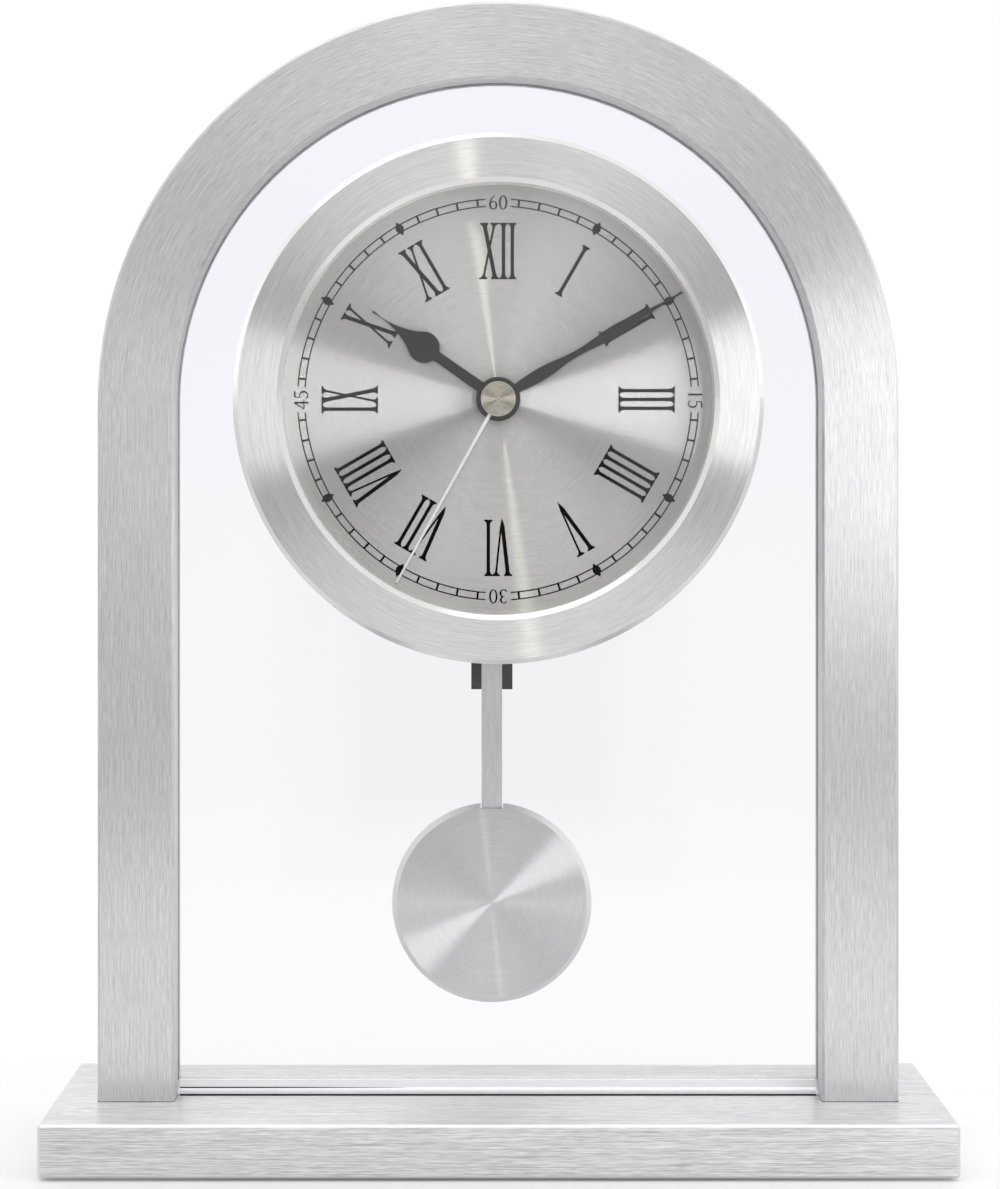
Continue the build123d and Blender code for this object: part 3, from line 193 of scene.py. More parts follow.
def spun_metal(name, centre, dark, light, grain, gloss, relief, edge_roughness=0.17):
    """Metal brushed in circles about a centre. grain is a line's length in radians and its width in
    millimetres, wider than real ones so that they show. edge_roughness is that of edges cut with a
    tool."""
    steepest_cut, flattest_cut = 0.2, 0.98
    round_dashes = (5.0, 5.0, 1.3)
    material, tree, place, (x, y, z) = start(name)
    aside = add(tree, "Math", {"operation": "SUBTRACT"}, [x, centre[0]])
    up = add(tree, "Math", {"operation": "SUBTRACT"}, [z, centre[1]])
    spoke = add(tree, "CombineXYZ", {}, {0: aside, 2: up})
    radius = add(tree, "VectorMath", {"operation": "LENGTH"}, [spoke]).outputs["Value"]
    heading = add(tree, "VectorMath", {"operation": "NORMALIZE"}, [spoke])
    heading_x, _, heading_z = add(tree, "SeparateXYZ", {}, [heading]).outputs
    depth = add(tree, "Math", {"operation": "ADD"}, [radius, y])
    length, width = grain
    lines = add(tree, "VectorMath", {"operation": "DIVIDE"}, [
        add(tree, "CombineXYZ", {}, [heading_x, heading_z, depth]), (length, length, width)])
    around = add(tree, "VectorMath", {"operation": "CROSS_PRODUCT"}, [heading, (0.0, 1.0, 0.0)])
    tilt = add(tree, "VectorMath", {"operation": "ABSOLUTE"}, [place.outputs["Normal"]])
    y_tilt = add(tree, "SeparateXYZ", {}, [tilt]).outputs["Y"]
    cut = add(tree, "Math", {"operation": "MULTIPLY"}, [
        add(tree, "Math", {"operation": "LESS_THAN"}, [y_tilt, flattest_cut]),
        add(tree, "Math", {"operation": "GREATER_THAN"}, [y_tilt, steepest_cut])])
    brushed_metal(tree, lines, round_dashes, around, dark, light, gloss, relief, sheen_share=0.75,
                  edge=(cut, "#EAEAE9", edge_roughness))
    return material


dress(spun_metal("turned_aluminium", middle_of("bezel_ring"), dark="#DFDFE0", light="#F1F1F1",
                 grain=(0.35, 0.2), gloss=(0.5, 0.014), relief=0.09), "bezel_ring")


# The dial is a thin spun aluminium disc, finer than the bezel, with a clear lacquer over it. It is
# held between a ledge in the drum and a white ring behind the lens.
dress(spun_metal("spun_silver_aluminium", middle_of("dial_plate"), dark="#D3D3D2", light="#DEDEDC",
                 grain=(0.3, 0.13), gloss=(0.45, 0.009), relief=0.06), "dial_plate")


# The dial's marks are black enamel ink, laid on through a screen in a film that stands a little
# proud of the metal: a minute track, four small numbers on it and twelve tall Roman numerals.
ink, tree, place, point = start("screen_printed_black_ink")
ink_grain, ink_roughness = 0.4, (0.1, 0.16)
ink_film = add(tree, "TexNoise", {}, {
    "Vector": place.outputs["Object"], "Scale": 1 / (ink_grain * MM), "Detail": 2.0})
ink_tone = add(tree, "Mix", {"data_type": "RGBA"}, {
    0: ink_film, 6: colour("#040404"), 7: colour("#0A0A0A")})
ink_shader = add(tree, "BsdfPrincipled", {}, {
    "Base Color": ink_tone.outputs[2], "IOR": 1.45,
    "Roughness": add(tree, "MapRange", {}, [ink_film, *noise_span, *ink_roughness])})
add(tree, "OutputMaterial", {}, [ink_shader])

dial_centre = middle_of("dial_plate")
dial_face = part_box("dial_plate")[0].y / MM
ink_depth = 0.02
thin_ink_depth = 0.018


def placed(x, rise, turn_degrees):
    """A mark's own point, x to its right and rise from the dial's centre, turned clockwise."""
    angle = math.radians(turn_degrees)
    return (x * math.cos(angle) + rise * math.sin(angle),
            rise * math.cos(angle) - x * math.sin(angle))


def swept(name, material, runs):
    """A piece whose outline is carried along runs of corners. A run is its rows of points in
    millimetres, and whether its end meets its start."""
    mesh = bmesh.new()
    for rows, closed in runs:
        rows = [[mesh.verts.new([v * MM for v in corner]) for corner in row] for row in rows]
        for i in range(len(rows) if closed else len(rows) - 1):
            a, b = rows[i], rows[(i + 1) % len(rows)]
            for j in range(len(a)):
                k = (j + 1) % len(a)
                mesh.faces.new((a[j], a[k], b[k], b[j]))
        if not closed:
            mesh.faces.new(rows[0])
            mesh.faces.new(rows[-1])
    bmesh.ops.recalc_face_normals(mesh, faces=mesh.faces)
    data = bpy.data.meshes.new(name)
    mesh.to_mesh(data)
    mesh.free()
    data.materials.append(material)
    piece = bpy.data.objects.new(name, data)
    bpy.context.scene.collection.objects.link(piece)
    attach(piece, "clock")


def print_on_dial(name, strips):
    """One piece of printed film. A strip is its depth, the pairs of points at its two sides, and
    whether its end meets its start."""
    runs = []
    for depth, pairs, closed in strips:
        rows = []
        for pair in pairs:
            (x0, z0), (x1, z1) = [(dial_centre[0] + x, dial_centre[1] + z) for x, z in pair]
            rows.append([(x0, dial_face, z0), (x0, dial_face - depth, z0),
                         (x1, dial_face - depth, z1), (x1, dial_face, z1)])
        runs.append((rows, closed))
    swept(name, ink, runs)


# The minute track is two fine circles with a short bar for each minute between them, and a
# diamond for each five. The circles stop on both sides of the four small numbers.
track_outer, track_inner = 40.53, 39.08
circle_line = 0.24
minute_bar = 0.42
number_gap = 3.7
quarter = 90
arc_steps = 44
track = []
for quarter_start in range(0, 360, quarter):
    for radius in (track_outer, track_inner):
        pairs = []
        for i in range(arc_steps + 1):
            angle = quarter_start + number_gap + (quarter - 2 * number_gap) * i / arc_steps
            pairs.append((placed(0, radius - circle_line / 2, angle),
                          placed(0, radius + circle_line / 2, angle)))
        track.append((thin_ink_depth, pairs, False))
minute_angle = 6
diamond_middle = (track_outer + track_inner) / 2
diamond_shape = ((-1.5, 0.04), (-0.95, 0.36), (-0.5, 0.72), (0, 0.86), (0.5, 0.72), (0.95, 0.36),
                 (1.5, 0.04))
bars = []
diamonds = []
for minute in range(60):
    angle = minute * minute_angle
    if minute % 15 == 0:
        continue
    if minute % 5 == 0:
        diamonds.append((ink_depth, [(placed(-half, diamond_middle + rise, angle),
                                      placed(half, diamond_middle + rise, angle))
                                     for rise, half in diamond_shape], False))
    else:
        bars.append((ink_depth, [(placed(-minute_bar / 2, radius, angle),
                                  placed(minute_bar / 2, radius, angle))
                                 for radius in (track_inner, track_outer)], False))
print_on_dial("minute_circles", track)
print_on_dial("minute_bars", bars)
print_on_dial("five_minute_diamonds", diamonds)


# The small numbers are drawn with a broad pen, thick where a stroke stands and thin where it lies.
# Each is about 3 mm high, and its foot points to the middle of the dial.
def bow(centre, reach, begin, end, thick=0.38, thin=0.18, steps=18):
    """Part of an oval stroke, as pairs of an outer and an inner point."""
    pairs = []
    for i in range(steps + 1):
        angle = math.radians(begin + (end - begin) * i / steps)
        pairs.append(tuple((centre[0] + across * math.cos(angle), centre[1] + high * math.sin(angle))
                           for across, high in (reach, (reach[0] - thick, reach[1] - thin))))
    return pairs


def bar(begin, end, half_width):
    """A straight stroke between two points, with its half width across x."""
    return [((x - half_width, z), (x + half_width, z)) for x, z in (begin, end)]


def level_bar(begin, end, half_width):
    """A stroke that lies level or nearly so, with its half width across z."""
    return [((x, z - half_width), (x, z + half_width)) for x, z in (begin, end)]


digits = {
    "0": [(bow((0, 0), (0.86, 1.44), 0, 360), True)],
    "1": [([((-0.34, -1.42), (0.34, -1.42)), ((-0.19, -1.25), (0.19, -1.25)),
            ((-0.19, 1.2), (0.19, 1.2)), ((-0.26, 1.42), (0.19, 1.42))], False)],
    "3": [(bow((-0.12, 0.7), (0.78, 0.74), -90, 150), False),
          (bow((-0.12, -0.66), (0.86, 0.78), -150, 90), False)],
    "4": [(bar((0.34, -1.42), (0.34, 1.42), 0.19), False),
          (bar((0.26, 1.36), (-0.86, -0.5), 0.12), False),
          (level_bar((-0.92, -0.54), (0.86, -0.54), 0.1), False)],
    "5": [(level_bar((-0.52, 1.28), (0.66, 1.34), 0.16), False),
          (bar((-0.5, 1.3), (-0.56, 0.2), 0.1), False),
          (bow((-0.14, -0.5), (0.9, 0.92), -140, 118), False)],
    "6": [(bow((0, -0.56), (0.84, 0.88), 0, 360), True),
          (bow((0.5, -0.5), (1.34, 1.94), 96, 180, thick=0.34, thin=0.12), False)],
}
digit_pitch = 1.98
number_strips = []
for minute in (0, 15, 30, 45):
    text = str(minute or 60)
    for i, digit in enumerate(text):
        shift = (i - (len(text) - 1) / 2) * digit_pitch
        for pairs, closed in digits[digit]:
            number_strips.append((ink_depth, [
                tuple(placed(x + shift, diamond_middle + z, minute * minute_angle) for x, z in pair)
                for pair in pairs], closed))
print_on_dial("minute_numbers", number_strips)


# The Roman numerals are tall and narrow, with thick upright strokes, thin rising ones and flat
# serifs that swell out of the stroke in a small curve. Their feet point to the centre.
numeral_foot, numeral_height = 24.3, 11.4
serif_half = 0.84
bracket_shape = ((0.0, 1.0), (0.3, 1.0), (0.38, 0.6), (0.55, 0.3), (0.8, 0.1), (1.2, 0.0))
point_length, point_half = 1.6, 0.04


def stroke(foot_x, top_x, half, pointed=False, foot_drop=0.0):
    """A numeral's stroke as pairs of points, from its foot to its top. A pointed foot has no
    serif, and can reach a little below the line."""
    bottom, top = -foot_drop, numeral_height
    levels = [(rise, half + (serif_half - half) * share) for rise, share in bracket_shape]
    if pointed:
        levels = [(bottom, point_half), (bottom + point_length, half)]
    levels += [(top - rise, half + (serif_half - half) * share)
               for rise, share in reversed(bracket_shape)]
    pairs = []
    for rise, width in levels:
        x = foot_x + (top_x - foot_x) * (rise - bottom) / (top - bottom)
        pairs.append(((x - width, rise), (x + width, rise)))
    return pairs


def letter_i(x):
    return [(ink_depth, stroke(x, x, 0.35))]


def letter_v(x):
    apex = x + 1.3
    return [(ink_depth, stroke(apex, x, 0.4, pointed=True, foot_drop=0.35)),
            (thin_ink_depth, stroke(apex - 0.02, x + 2.5, 0.2, pointed=True, foot_drop=0.1))]


def letter_x(x):
    return [(ink_depth, stroke(x + 2.25, x, 0.41)),
            (thin_ink_depth, stroke(x - 0.2, x + 2.15, 0.22))]


letters = {"I": (letter_i, 0.0), "V": (letter_v, 2.5), "X": (letter_x, 2.2)}
letter_gap = {"I": 1.79, "V": 1.49, "X": 1.72}
hour_angle = 30
numerals = ("XII", "I", "II", "III", "IIII", "V", "VI", "VII", "VIII", "IX", "X", "XI")
numeral_strips = []
for hour, text in enumerate(numerals):
    cursor, drawn = 0.0, []
    for i, letter in enumerate(text):
        if i:
            cursor += letter_gap[text[i - 1]] if letter == "I" else letter_gap[letter]
        make, width = letters[letter]
        drawn += make(cursor)
        cursor += width
    for depth, pairs in drawn:
        numeral_strips.append((depth, [
            tuple(placed(x - cursor / 2, numeral_foot + z, hour * hour_angle) for x, z in pair)
            for pair in pairs], False))
print_on_dial("roman_numerals", numeral_strips)


# The hour and minute hands are stamped from thin steel and sprayed with black paint. The disc at
# their centre is part of the minute hand.
def sprayed_paint(name, deep, pale, roughness):
    """Thin sprayed paint with a faint ripple like orange peel, about 0.4 mm across."""
    ripple_width, ripple_depth, patchiness = 0.4 * MM, 0.01 * MM, 0.04
    material, tree, place, point = start(name)
    ripple = add(tree, "TexNoise", {}, {
        "Vector": place.outputs["Object"], "Scale": 1 / ripple_width, "Detail": 2.0})
    tone = add(tree, "Mix", {"data_type": "RGBA"}, {0: ripple, 6: colour(deep), 7: colour(pale)})
    bump = add(tree, "Bump", {}, {"Height": ripple, "Strength": 0.12, "Distance": ripple_depth})
    shader = add(tree, "BsdfPrincipled", {}, {
        "Base Color": tone.outputs[2], "IOR": 1.5, "Normal": bump,
        "Roughness": add(tree, "MapRange", {}, [
            ripple, *noise_span, roughness - patchiness, roughness + patchiness])})
    add(tree, "OutputMaterial", {}, [shader])
    return material


dress(sprayed_paint("black_hand_paint", "#070707", "#0F0F10", 0.4), "hour_hand", "minute_hand")


# The second hand is a sliver of the same steel, sprayed silver white. A turned aluminium cap,
# anodised to a pale champagne, sits over its middle on the end of the arbor.
dress(sprayed_paint("silver_white_paint", "#DCDCDC", "#EDEDED", 0.34), "second_hand")
dress(spun_metal("champagne_turned_cap", middle_of("hand_cap"), dark="#AAA394", light="#C6C0B2",
                 grain=(0.5, 0.12), gloss=(0.25, 0.015), relief=0.1), "hand_cap")


# The pane is clear float glass 4 mm thick with ground edges. Looked through it is almost bare of
# colour, with the faintest blue towards the top. The lens over the dial is the same glass, thinner.
def seen_by_eye(tree):
    """1 for what the eye sees, straight or through glass, and 0 for light between the pieces."""
    ray = add(tree, "LightPath", {}, {}).outputs
    return add(tree, "Math", {"operation": "MAXIMUM"}, [
        ray["Is Camera Ray"], ray["Is Transmission Ray"]])


def clear_sheet(name, low_tint, high_tint, ior, roughness, clear=1.0):
    """Glass or clear plastic with one tint low down and one at the top. Light on its way to other
    pieces goes straight through it."""
    low_end, high_end = 90.0, 200.0
    material, tree, place, point = start(name)
    rise = add(tree, "MapRange", {"interpolation_type": "SMOOTHSTEP"}, [
        point["Z"], low_end, high_end])
    tint = add(tree, "Mix", {"data_type": "RGBA"}, {
        0: rise, 6: colour(low_tint), 7: colour(high_tint)})
    glass = add(tree, "BsdfPrincipled", {}, {
        "Base Color": tint.outputs[2], "Roughness": roughness, "IOR": ior,
        "Transmission Weight": clear})
    passing = add(tree, "BsdfTransparent", {}, {})
    either = add(tree, "MixShader", {}, [seen_by_eye(tree), passing, glass])
    add(tree, "OutputMaterial", {}, [either])
    return material


dress(clear_sheet("clear_float_glass", "#FBFBFD", "#F5F7FC", ior=1.5, roughness=0.0), "glass_pane")
dress(clear_sheet("thin_clear_glass", "#FFFFFF", "#FFFFFF", ior=1.5, roughness=0.0), "front_lens")


# The pane's foot sits in a clear extruded acrylic channel, a little cloudier than the glass. The
# channel lies on the plinth between the arch's legs.
dress(clear_sheet("extruded_clear_acrylic", "#FBFCFE", "#FBFCFE", ior=1.49, roughness=0.03,
                  clear=0.7), "glazing_channel")


# The black strip along the channel's front foot is painted shadow: a thin dark sheet that stands in
# for the contact shadow where the channel meets the plinth. A thinner strip in the channel's lip at
# the left is painted shade for the dark gap that the pane leaves there, which runs out to nothing.
# Both are black with a fine cell pattern.
shade_strips_material, tree, place, point = start("painted_shade_black_strips")
shade_strips_cell_width = 0.2 * MM
shade_strips_cells = add(tree, "TexVoronoi", {}, {"Vector": place.outputs["Object"], "Scale": 1 / shade_strips_cell_width})
shade_strips_tone = add(tree, "Mix", {"data_type": "RGBA"}, {
    0: shade_strips_cells.outputs["Distance"], 6: colour("#0E0E0F"), 7: colour("#232324")})
shade_strips_shader = add(tree, "BsdfPrincipled", {}, {
    "Base Color": shade_strips_tone.outputs[2], "Roughness": 0.85})
add(tree, "OutputMaterial", {}, [shade_strips_shader])
channel_low, channel_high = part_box("glazing_channel")
channel_shadow_height, channel_shadow_depth, channel_shadow_end_gap, channel_shadow_shoulder = 0.3, 0.35, 0.4, 0.7
channel_shadow_left = channel_low.x / MM + channel_shadow_end_gap
channel_shadow_right = channel_high.x / MM - channel_shadow_end_gap
channel_shadow_back, channel_shadow_foot = channel_low.y / MM, channel_low.z / MM
channel_shadow_outline = ((channel_shadow_depth, 0), (0, 0), (0, channel_shadow_height),
                (channel_shadow_depth * channel_shadow_shoulder, channel_shadow_height), (channel_shadow_depth, channel_shadow_height * channel_shadow_shoulder))
channel_shadow_rows = [[(x, channel_shadow_back - depth, channel_shadow_foot + rise) for depth, rise in channel_shadow_outline]
             for x in (channel_shadow_left, channel_shadow_right)]
swept("channel_foot_painted_shadow", shade_strips_material, [(channel_shadow_rows, False)])
# The thinner strip, tapering to nothing, is painted shade in the gap at the channel's lip.
strip_rise, strip_depth, strip_length = 1.6, 0.06, 46.0
strip_taper = ((0.0, 0.13), (0.35, 0.12), (0.7, 0.07), (1.0, 0.01))
strip_rows = []
for share, half in strip_taper:
    x, middle = channel_shadow_left + share * strip_length, channel_shadow_foot + strip_rise
    strip_rows.append([(x, channel_shadow_back, middle - half), (x, channel_shadow_back - strip_depth, middle - half),
                       (x, channel_shadow_back - strip_depth, middle + half), (x, channel_shadow_back, middle + half)])
swept("lip_gap_painted_shade", shade_strips_material, [(strip_rows, False)])


# Under each foot of the arch lies a paper-thin black sheet whose edge shows as a dark line: painted
# shade for the shadow in the joint between foot and plinth. It is cut to the foot's outline, with
# its two front corners, and stands 0.05 mm proud of it.
foot_width, foot_bevel = 15.5, 0.5
joint_shade_height, joint_shade_proud = 0.1, 0.05
foot_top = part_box("base_plinth")[1].z / MM
foot_outer, foot_inner = arch_high.x / MM, arch_high.x / MM - foot_width
foot_front, foot_back = arch_low.y / MM, arch_high.y / MM
foot_outline = ((foot_outer, foot_back), (foot_outer, foot_front + foot_bevel),
                (foot_outer - foot_bevel, foot_front), (foot_inner + foot_bevel, foot_front),
                (foot_inner, foot_front + foot_bevel), (foot_inner, foot_back))
foot_middle = ((foot_outer + foot_inner) / 2, (foot_front + foot_back) / 2)
wider = 1 + joint_shade_proud / (foot_outer - foot_middle[0])
deeper = 1 + joint_shade_proud / (foot_back - foot_middle[1])
joint_shades = []
for hand in (-1, 1):
    rows = []
    for x, y in foot_outline:
        proud_x = hand * (foot_middle[0] + (x - foot_middle[0]) * wider)
        proud_y = foot_middle[1] + (y - foot_middle[1]) * deeper
        rows.append([(hand * x, y, foot_top), (proud_x, proud_y, foot_top),
                     (proud_x, proud_y, foot_top + joint_shade_height),
                     (hand * x, y, foot_top + joint_shade_height)])
    joint_shades.append((rows, True))
swept("foot_joint_painted_shade", shade_strips_material, joint_shades)


# The pendulum's rod is a strip of rolled steel with a fine lengthwise grain and a satin finish. Its
# grain, too fine to show, is drawn 0.2 mm wide.
rod_metal, tree, place, (x, y, z) = start("satin_rolled_steel")
upright = add(tree, "CombineXYZ", {}, {2: 1.0})
line_length, line_width = 8.0, 0.2
lines = add(tree, "VectorMath", {"operation": "DIVIDE"}, [
    add(tree, "CombineXYZ", {}, [z, x, y]), (line_length, line_width, line_width)])
brushed_metal(tree, lines, straight_dashes, upright, dark="#D3D4D4", light="#E4E5E5",
              gloss=(0.16, 0.05), relief=0.1, sheen_share=0.5)
dress(rod_metal, "pendulum_rod", "bob_weight")


# The bob's face is a spun aluminium disc like the dial, with a broken rim, over a steel weight.
# One screw from behind holds both of them and the rod.
dress(spun_metal("spun_bob_aluminium", middle_of("bob_weight"), dark="#CFD0D0", light="#DEDEDD",
                 grain=(0.4, 0.1), gloss=(0.45, 0.018), relief=0.03, edge_roughness=0.55),
      "bob_face")


# The drum behind the bezel, the movement's case, its knob and the pendulum's hanger are moulded
# ABS: black or charcoal, with the fine spark-eroded grain of the mould on every face. The plates
# and bobbin inside are grey, and the wheels are white acetal, which is smoother.
def moulded_plastic(name, deep, pale, roughness, grain=0.35):
    """Moulded plastic with a fine grain from its mould, grain millimetres across, which is coarser
    than the real one so that it shows."""
    flow_width, grain_depth, patchiness = 9 * MM, 0.02 * MM, 0.05
    material, tree, place, point = start(name)
    cells = add(tree, "TexVoronoi", {"feature": "SMOOTH_F1"}, {
        "Vector": place.outputs["Object"], "Scale": 1 / (grain * MM)})
    flow = add(tree, "TexNoise", {}, {
        "Vector": place.outputs["Object"], "Scale": 1 / flow_width, "Detail": 3.0})
    tone = add(tree, "Mix", {"data_type": "RGBA"}, {
        0: add(tree, "MapRange", {}, [flow, *noise_span]), 6: colour(deep), 7: colour(pale)})
    bump = add(tree, "Bump", {}, {"Height": cells, "Strength": 0.25, "Distance": grain_depth})
    shader = add(tree, "BsdfPrincipled", {}, {
        "Base Color": tone.outputs[2], "IOR": 1.53, "Normal": bump,
        "Roughness": add(tree, "MapRange", {}, [
            flow, *noise_span, roughness - patchiness, roughness + patchiness])})
    add(tree, "OutputMaterial", {}, [shader])
    return material


dress(moulded_plastic("moulded_black_abs", "#1A1A1B", "#262627", 0.5),
      "case_drum", "movement_front", "movement_back", "set_knob")
dress(moulded_plastic("moulded_charcoal_abs", "#434344", "#525253", 0.5), "pendulum_hanger")
dress(moulded_plastic("moulded_grey_abs", "#77797B", "#858789", 0.5),
      "train_bridge", "coil_bobbin")
dress(moulded_plastic("moulded_white_acetal", "#DADAD4", "#E8E8E3", 0.38, grain=0.2),
      "second_wheel", "third_wheel", "minute_wheel", "hour_wheel", "motion_wheel",
      "intermediate_wheel", "rotor_pinion", "set_arbor", "dial_spacer")


# Pads, gasket and washer are black rubber: dull, and slightly dusty. The pads are glued into
# pockets under the plinth, and the other two are clamped against the pane.
dress(moulded_plastic("black_rubber", "#161616", "#232323", 0.82, grain=0.25),
      "base_pads", "drum_gasket", "soft_washer")


# Screws, nuts and springs are plated steel, and the bush and the hand tube are turned brass. The
# magnets are pressed and sintered, and the coils are wound from lacquered copper wire.
def plain_metal(name, deep, pale, roughness):
    """Plated or turned metal with faint wear marks about a millimetre long."""
    wear_length, wear_span = 1 * MM, (0.35, 0.65)
    material, tree, place, point = start(name)
    wear = add(tree, "TexNoise", {}, {
        "Vector": place.outputs["Object"], "Scale": 1 / wear_length, "Detail": 4.0,
        "Roughness": 0.6})
    tone = add(tree, "Mix", {"data_type": "RGBA"}, {
        0: add(tree, "MapRange", {}, [wear, *wear_span]), 6: colour(deep), 7: colour(pale)})
    shader = add(tree, "BsdfPrincipled", {}, {
        "Base Color": tone.outputs[2], "Metallic": 1.0,
        "Roughness": add(tree, "MapRange", {}, [
            wear, *wear_span, roughness + 0.08, roughness - 0.05])})
    add(tree, "OutputMaterial", {}, [shader])
    return material


dress(plain_metal("nickel_plated_steel", "#B4B3AE", "#D3D2CE", 0.28),
      "arch_screws", "case_screws", "bridge_screws", "bob_screw", "nut_washer", "centre_nut",
      "battery_contact_minus", "battery_contact_plus", "pivot_pin", "second_arbor",
      "quartz_crystal", "stator", "coil_core")
dress(plain_metal("turned_brass", "#B8963F", "#D6B35A", 0.26), "threaded_bush", "cannon_tube")
dress(plain_metal("sintered_magnet", "#8C8D90", "#A5A6A8", 0.34), "rotor_magnet", "pendulum_magnet")
dress(plain_metal("enamelled_copper_wire", "#8F4A22", "#B8672F", 0.3), "coil_winding", "drive_coil")


# The circuit board is glass-filled epoxy with a green solder mask. Its chip is moulded in black
# resin, and stands on the board's face.
dress(moulded_plastic("green_solder_mask", "#1F5A36", "#2B6E45", 0.35, grain=0.5), "circuit_board")
dress(moulded_plastic("black_epoxy_resin", "#141415", "#1E1E1F", 0.45, grain=0.15), "control_chip")


# The battery's steel can wears a shrunk plastic sleeve: dark, with a copper-coloured band at the
# end with the button. The can's ends are bare.
battery_skin, tree, place, point = start("printed_battery_sleeve")
band_share, end_tilt, cloud_width = 0.3, 0.5, 3 * MM
battery_low, battery_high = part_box("battery")
battery_length = (battery_high.x - battery_low.x) / MM
from_button = add(tree, "Math", {"operation": "SUBTRACT"}, [battery_high.x / MM, point["X"]])
in_band = add(tree, "Math", {"operation": "LESS_THAN"}, [from_button, band_share * battery_length])
clouds = add(tree, "TexNoise", {}, {"Vector": place.outputs["Object"], "Scale": 1 / cloud_width})
dark_part = add(tree, "Mix", {"data_type": "RGBA"}, {
    0: clouds, 6: colour("#1B1C20"), 7: colour("#24262B")})
band_part = add(tree, "Mix", {"data_type": "RGBA"}, {
    0: clouds, 6: colour("#A8692F"), 7: colour("#BC7C3E")})
sleeve = add(tree, "Mix", {"data_type": "RGBA"}, {
    0: in_band, 6: dark_part.outputs[2], 7: band_part.outputs[2]})
tilt = add(tree, "VectorMath", {"operation": "ABSOLUTE"}, [place.outputs["Normal"]])
x_tilt = add(tree, "SeparateXYZ", {}, [tilt]).outputs["X"]
is_end = add(tree, "Math", {"operation": "GREATER_THAN"}, [x_tilt, end_tilt])
skin_tone = add(tree, "Mix", {"data_type": "RGBA"}, {
    0: is_end, 6: sleeve.outputs[2], 7: colour("#BFBEBA")})
skin_shader = add(tree, "BsdfPrincipled", {}, {
    "Base Color": skin_tone.outputs[2],
    "Metallic": add(tree, "MapRange", {}, {0: is_end, 3: 0.35, 4: 1.0}),
    "Roughness": add(tree, "MapRange", {}, [clouds, *noise_span, 0.28, 0.36])})
add(tree, "OutputMaterial", {}, [skin_shader])
dress(battery_skin, "battery")


# The floor is a round sheet of white paper that fades into the white backdrop at its rim. Its
# middle lies in front of the clock, and a trace of glow stands for the light from the walls.
floor_radius, solid_radius = 0.38, 0.2
fibre_width = 4 * MM
paper_glow = 0.01
floor_mesh = bmesh.new()
bmesh.ops.create_circle(floor_mesh, cap_ends=True, segments=96, radius=floor_radius)
floor_data = bpy.data.meshes.new("paper_floor")
floor_mesh.to_mesh(floor_data)
floor_mesh.free()
floor = bpy.data.objects.new("paper_floor", floor_data)
floor.location = (0, -0.25, 0)
bpy.context.scene.collection.objects.link(floor)
paper, tree, place, point = start("white_paper")
from_centre = add(tree, "VectorMath", {"operation": "LENGTH"}, [place.outputs["Object"]])
fade = add(tree, "MapRange", {"interpolation_type": "SMOOTHSTEP"}, [
    from_centre.outputs["Value"], solid_radius, floor_radius, 1.0, 0.0])
fibre = add(tree, "TexNoise", {}, {
    "Vector": place.outputs["Object"], "Scale": 1 / fibre_width, "Detail": 3.0})
paper_tone = add(tree, "Mix", {"data_type": "RGBA"}, {
    0: fibre, 6: colour("#E9E9E9"), 7: colour("#EDEDED")})
paper_shader = add(tree, "BsdfPrincipled", {}, {
    "Base Color": paper_tone.outputs[2], "Roughness": 0.9, "Specular IOR Level": 0.2})
glow = add(tree, "Emission", {}, {
    "Strength": add(tree, "Math", {"operation": "MULTIPLY"}, [seen_by_eye(tree), paper_glow])})
glowing = add(tree, "AddShader", {}, [paper_shader, glow])
gone = add(tree, "BsdfTransparent", {}, {})
add(tree, "OutputMaterial", {}, [add(tree, "MixShader", {}, [fade, gone, glowing])])
floor_data.materials.append(paper)


# The room is a white studio. The clock has a bright backdrop behind it and a pale ceiling above.
# In front is a grey room, with the camera on its dark stand in the middle and a dark doorway low
# on the left. What the eye sees past the clock is plain white.
world = bpy.data.worlds.new("studio")
bpy.context.scene.world = world
world.use_nodes = True
tree = world.node_tree
tree.nodes.clear()
smooth = {"interpolation_type": "SMOOTHSTEP"}
wall_level, ceiling_level, camera_level = 0.51, 1.05, 0.55
doorway_way = (-0.36, -0.91, -0.2)
way = add(tree, "TexCoord", {}, {}).outputs["Generated"]
x, y, z = add(tree, "SeparateXYZ", {}, [way]).outputs
in_front = add(tree, "MapRange", smooth, [y, 0.15, -0.35])
overhead = add(tree, "MapRange", smooth, [z, 0.3, 0.65])
aside = add(tree, "Math", {"operation": "ABSOLUTE"}, [x])
rise = add(tree, "Math", {"operation": "ABSOLUTE"}, [z])
slant = add(tree, "Math", {"operation": "DIVIDE"}, [
    aside, add(tree, "Math", {"operation": "ADD"}, [rise, 0.06])])
upright = add(tree, "MapRange", smooth, [slant, 1.1, 0.2, 0.0, 0.45])
sideways = add(tree, "MapRange", smooth, [slant, 1.8, 3.6, 0.0, 0.14])
by_camera = add(tree, "Math", {"operation": "MULTIPLY"}, [
    add(tree, "MapRange", smooth, [aside, 0.09, 0.14, 1.0, 0.0]),
    add(tree, "MapRange", smooth, [rise, 0.08, 0.14, 1.0, 0.0])])
stand = add(tree, "Math", {"operation": "MULTIPLY"}, [
    add(tree, "MapRange", {}, [aside, 0.045, 0.055, 1.0, 0.0]),
    add(tree, "MapRange", {}, [z, 0.012, 0.02, 1.0, 0.0])])
from_doorway = add(tree, "VectorMath", {"operation": "DISTANCE"}, [way, doorway_way])
doorway = add(tree, "MapRange", smooth, [from_doorway.outputs["Value"], 0.05, 0.24, 0.3, 0.0])
walls = add(tree, "Math", {"operation": "ADD"}, [
    upright, add(tree, "Math", {"operation": "ADD"}, [sideways, wall_level])])
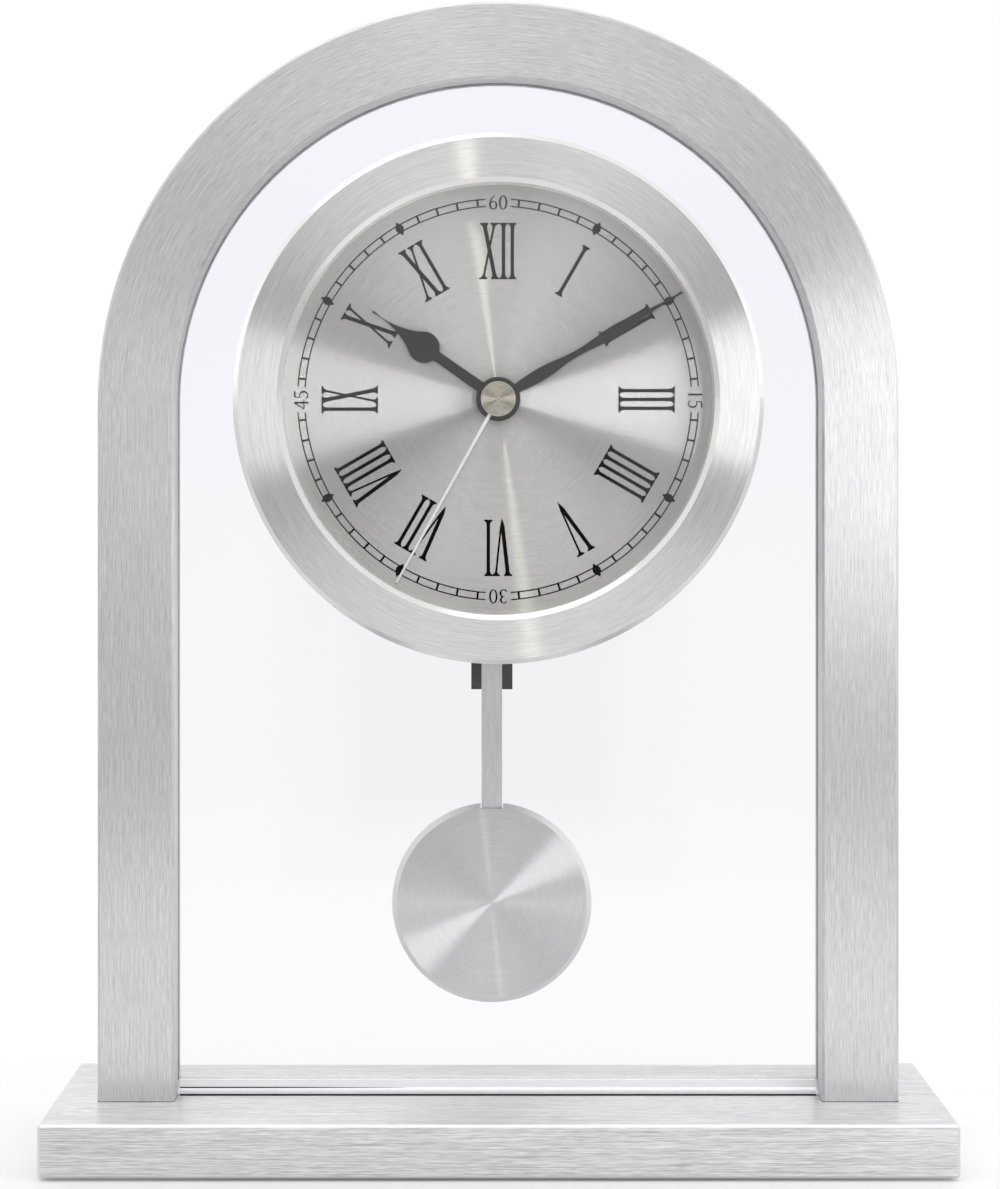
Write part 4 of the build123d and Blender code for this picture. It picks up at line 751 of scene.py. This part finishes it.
walls = add(tree, "Math", {"operation": "SUBTRACT"}, [walls, doorway])
room = add(tree, "Mix", {}, {0: by_camera, 2: walls, 3: camera_level})
not_stand = add(tree, "Math", {"operation": "SUBTRACT"}, [1.0, stand])
room = add(tree, "Math", {"operation": "MULTIPLY"}, [room, not_stand])
backdrop = add(tree, "MapRange", smooth, [z, -0.05, 0.12, 0.8, 1.3])
level = add(tree, "Mix", {}, {0: in_front, 2: backdrop, 3: room})
level = add(tree, "Mix", {}, {0: overhead, 2: level, 3: ceiling_level})
strength = add(tree, "Mix", {}, {0: seen_by_eye(tree), 2: level, 3: 1.0})
sky = add(tree, "Background", {}, {"Color": colour("#FFFFFF"), "Strength": strength})
add(tree, "OutputWorld", {}, [sky])


# Soft boxes. The key is a small one close to the clock on the right, with a second one far behind
# it to even it out. A slim one hangs overhead, and a wide one lights the plinth and the floor.
def soft_box(name, direction, distance, wide, high, radiance, tint="#FFFFFF"):
    """A rectangular lamp that faces the clock from a direction. radiance is its face's brightness."""
    clock_middle = Vector((0, 0, 0.12))
    light = bpy.data.lights.new(name, "AREA")
    light.shape = "RECTANGLE"
    light.size, light.size_y = wide, high
    light.energy = radiance * wide * high * math.pi
    light.color = colour(tint)[:3]
    lamp = bpy.data.objects.new(name, light)
    bpy.context.scene.collection.objects.link(lamp)
    outward = Vector(direction).normalized()
    lamp.location = clock_middle + outward * distance
    lamp.rotation_euler = outward.to_track_quat("Z", "Y").to_euler()
    lamp.visible_camera = False


soft_box("key_near", (0.767, -0.625, 0.142), 0.352, 0.14, 0.16, 3.4)
soft_box("key_far", (0.330, -0.943, 0.050), 2.12, 0.2, 0.41, 6.8)
soft_box("slim_overhead", (-0.09, -0.6, 0.8), 2.0, 0.03, 0.5, 31.0, "#FFF8E6")
soft_box("wide_above", (-0.12, -0.15, 1.0), 1.6, 2.3, 0.9, 0.7)


# The camera is level, a little below the middle of the dial, half a metre in front of the clock.
# Its frame is shifted down, so that the clock's upright edges stay upright.
camera_data = bpy.data.cameras.new("photo_camera")
camera_data.sensor_width = 36.0
camera_data.lens = 78.81
camera_data.shift_x = 0.0164
camera_data.shift_y = -0.0887
camera_data.clip_start, camera_data.clip_end = 0.01, 20.0
camera = bpy.data.objects.new("photo_camera", camera_data)
bpy.context.scene.collection.objects.link(camera)
camera.location = (-0.00357, -0.5345, 0.1350)
camera.rotation_euler = (math.radians(90), 0, 0)
bpy.context.scene.camera = camera
bpy.context.scene.view_settings.view_transform = "Standard"
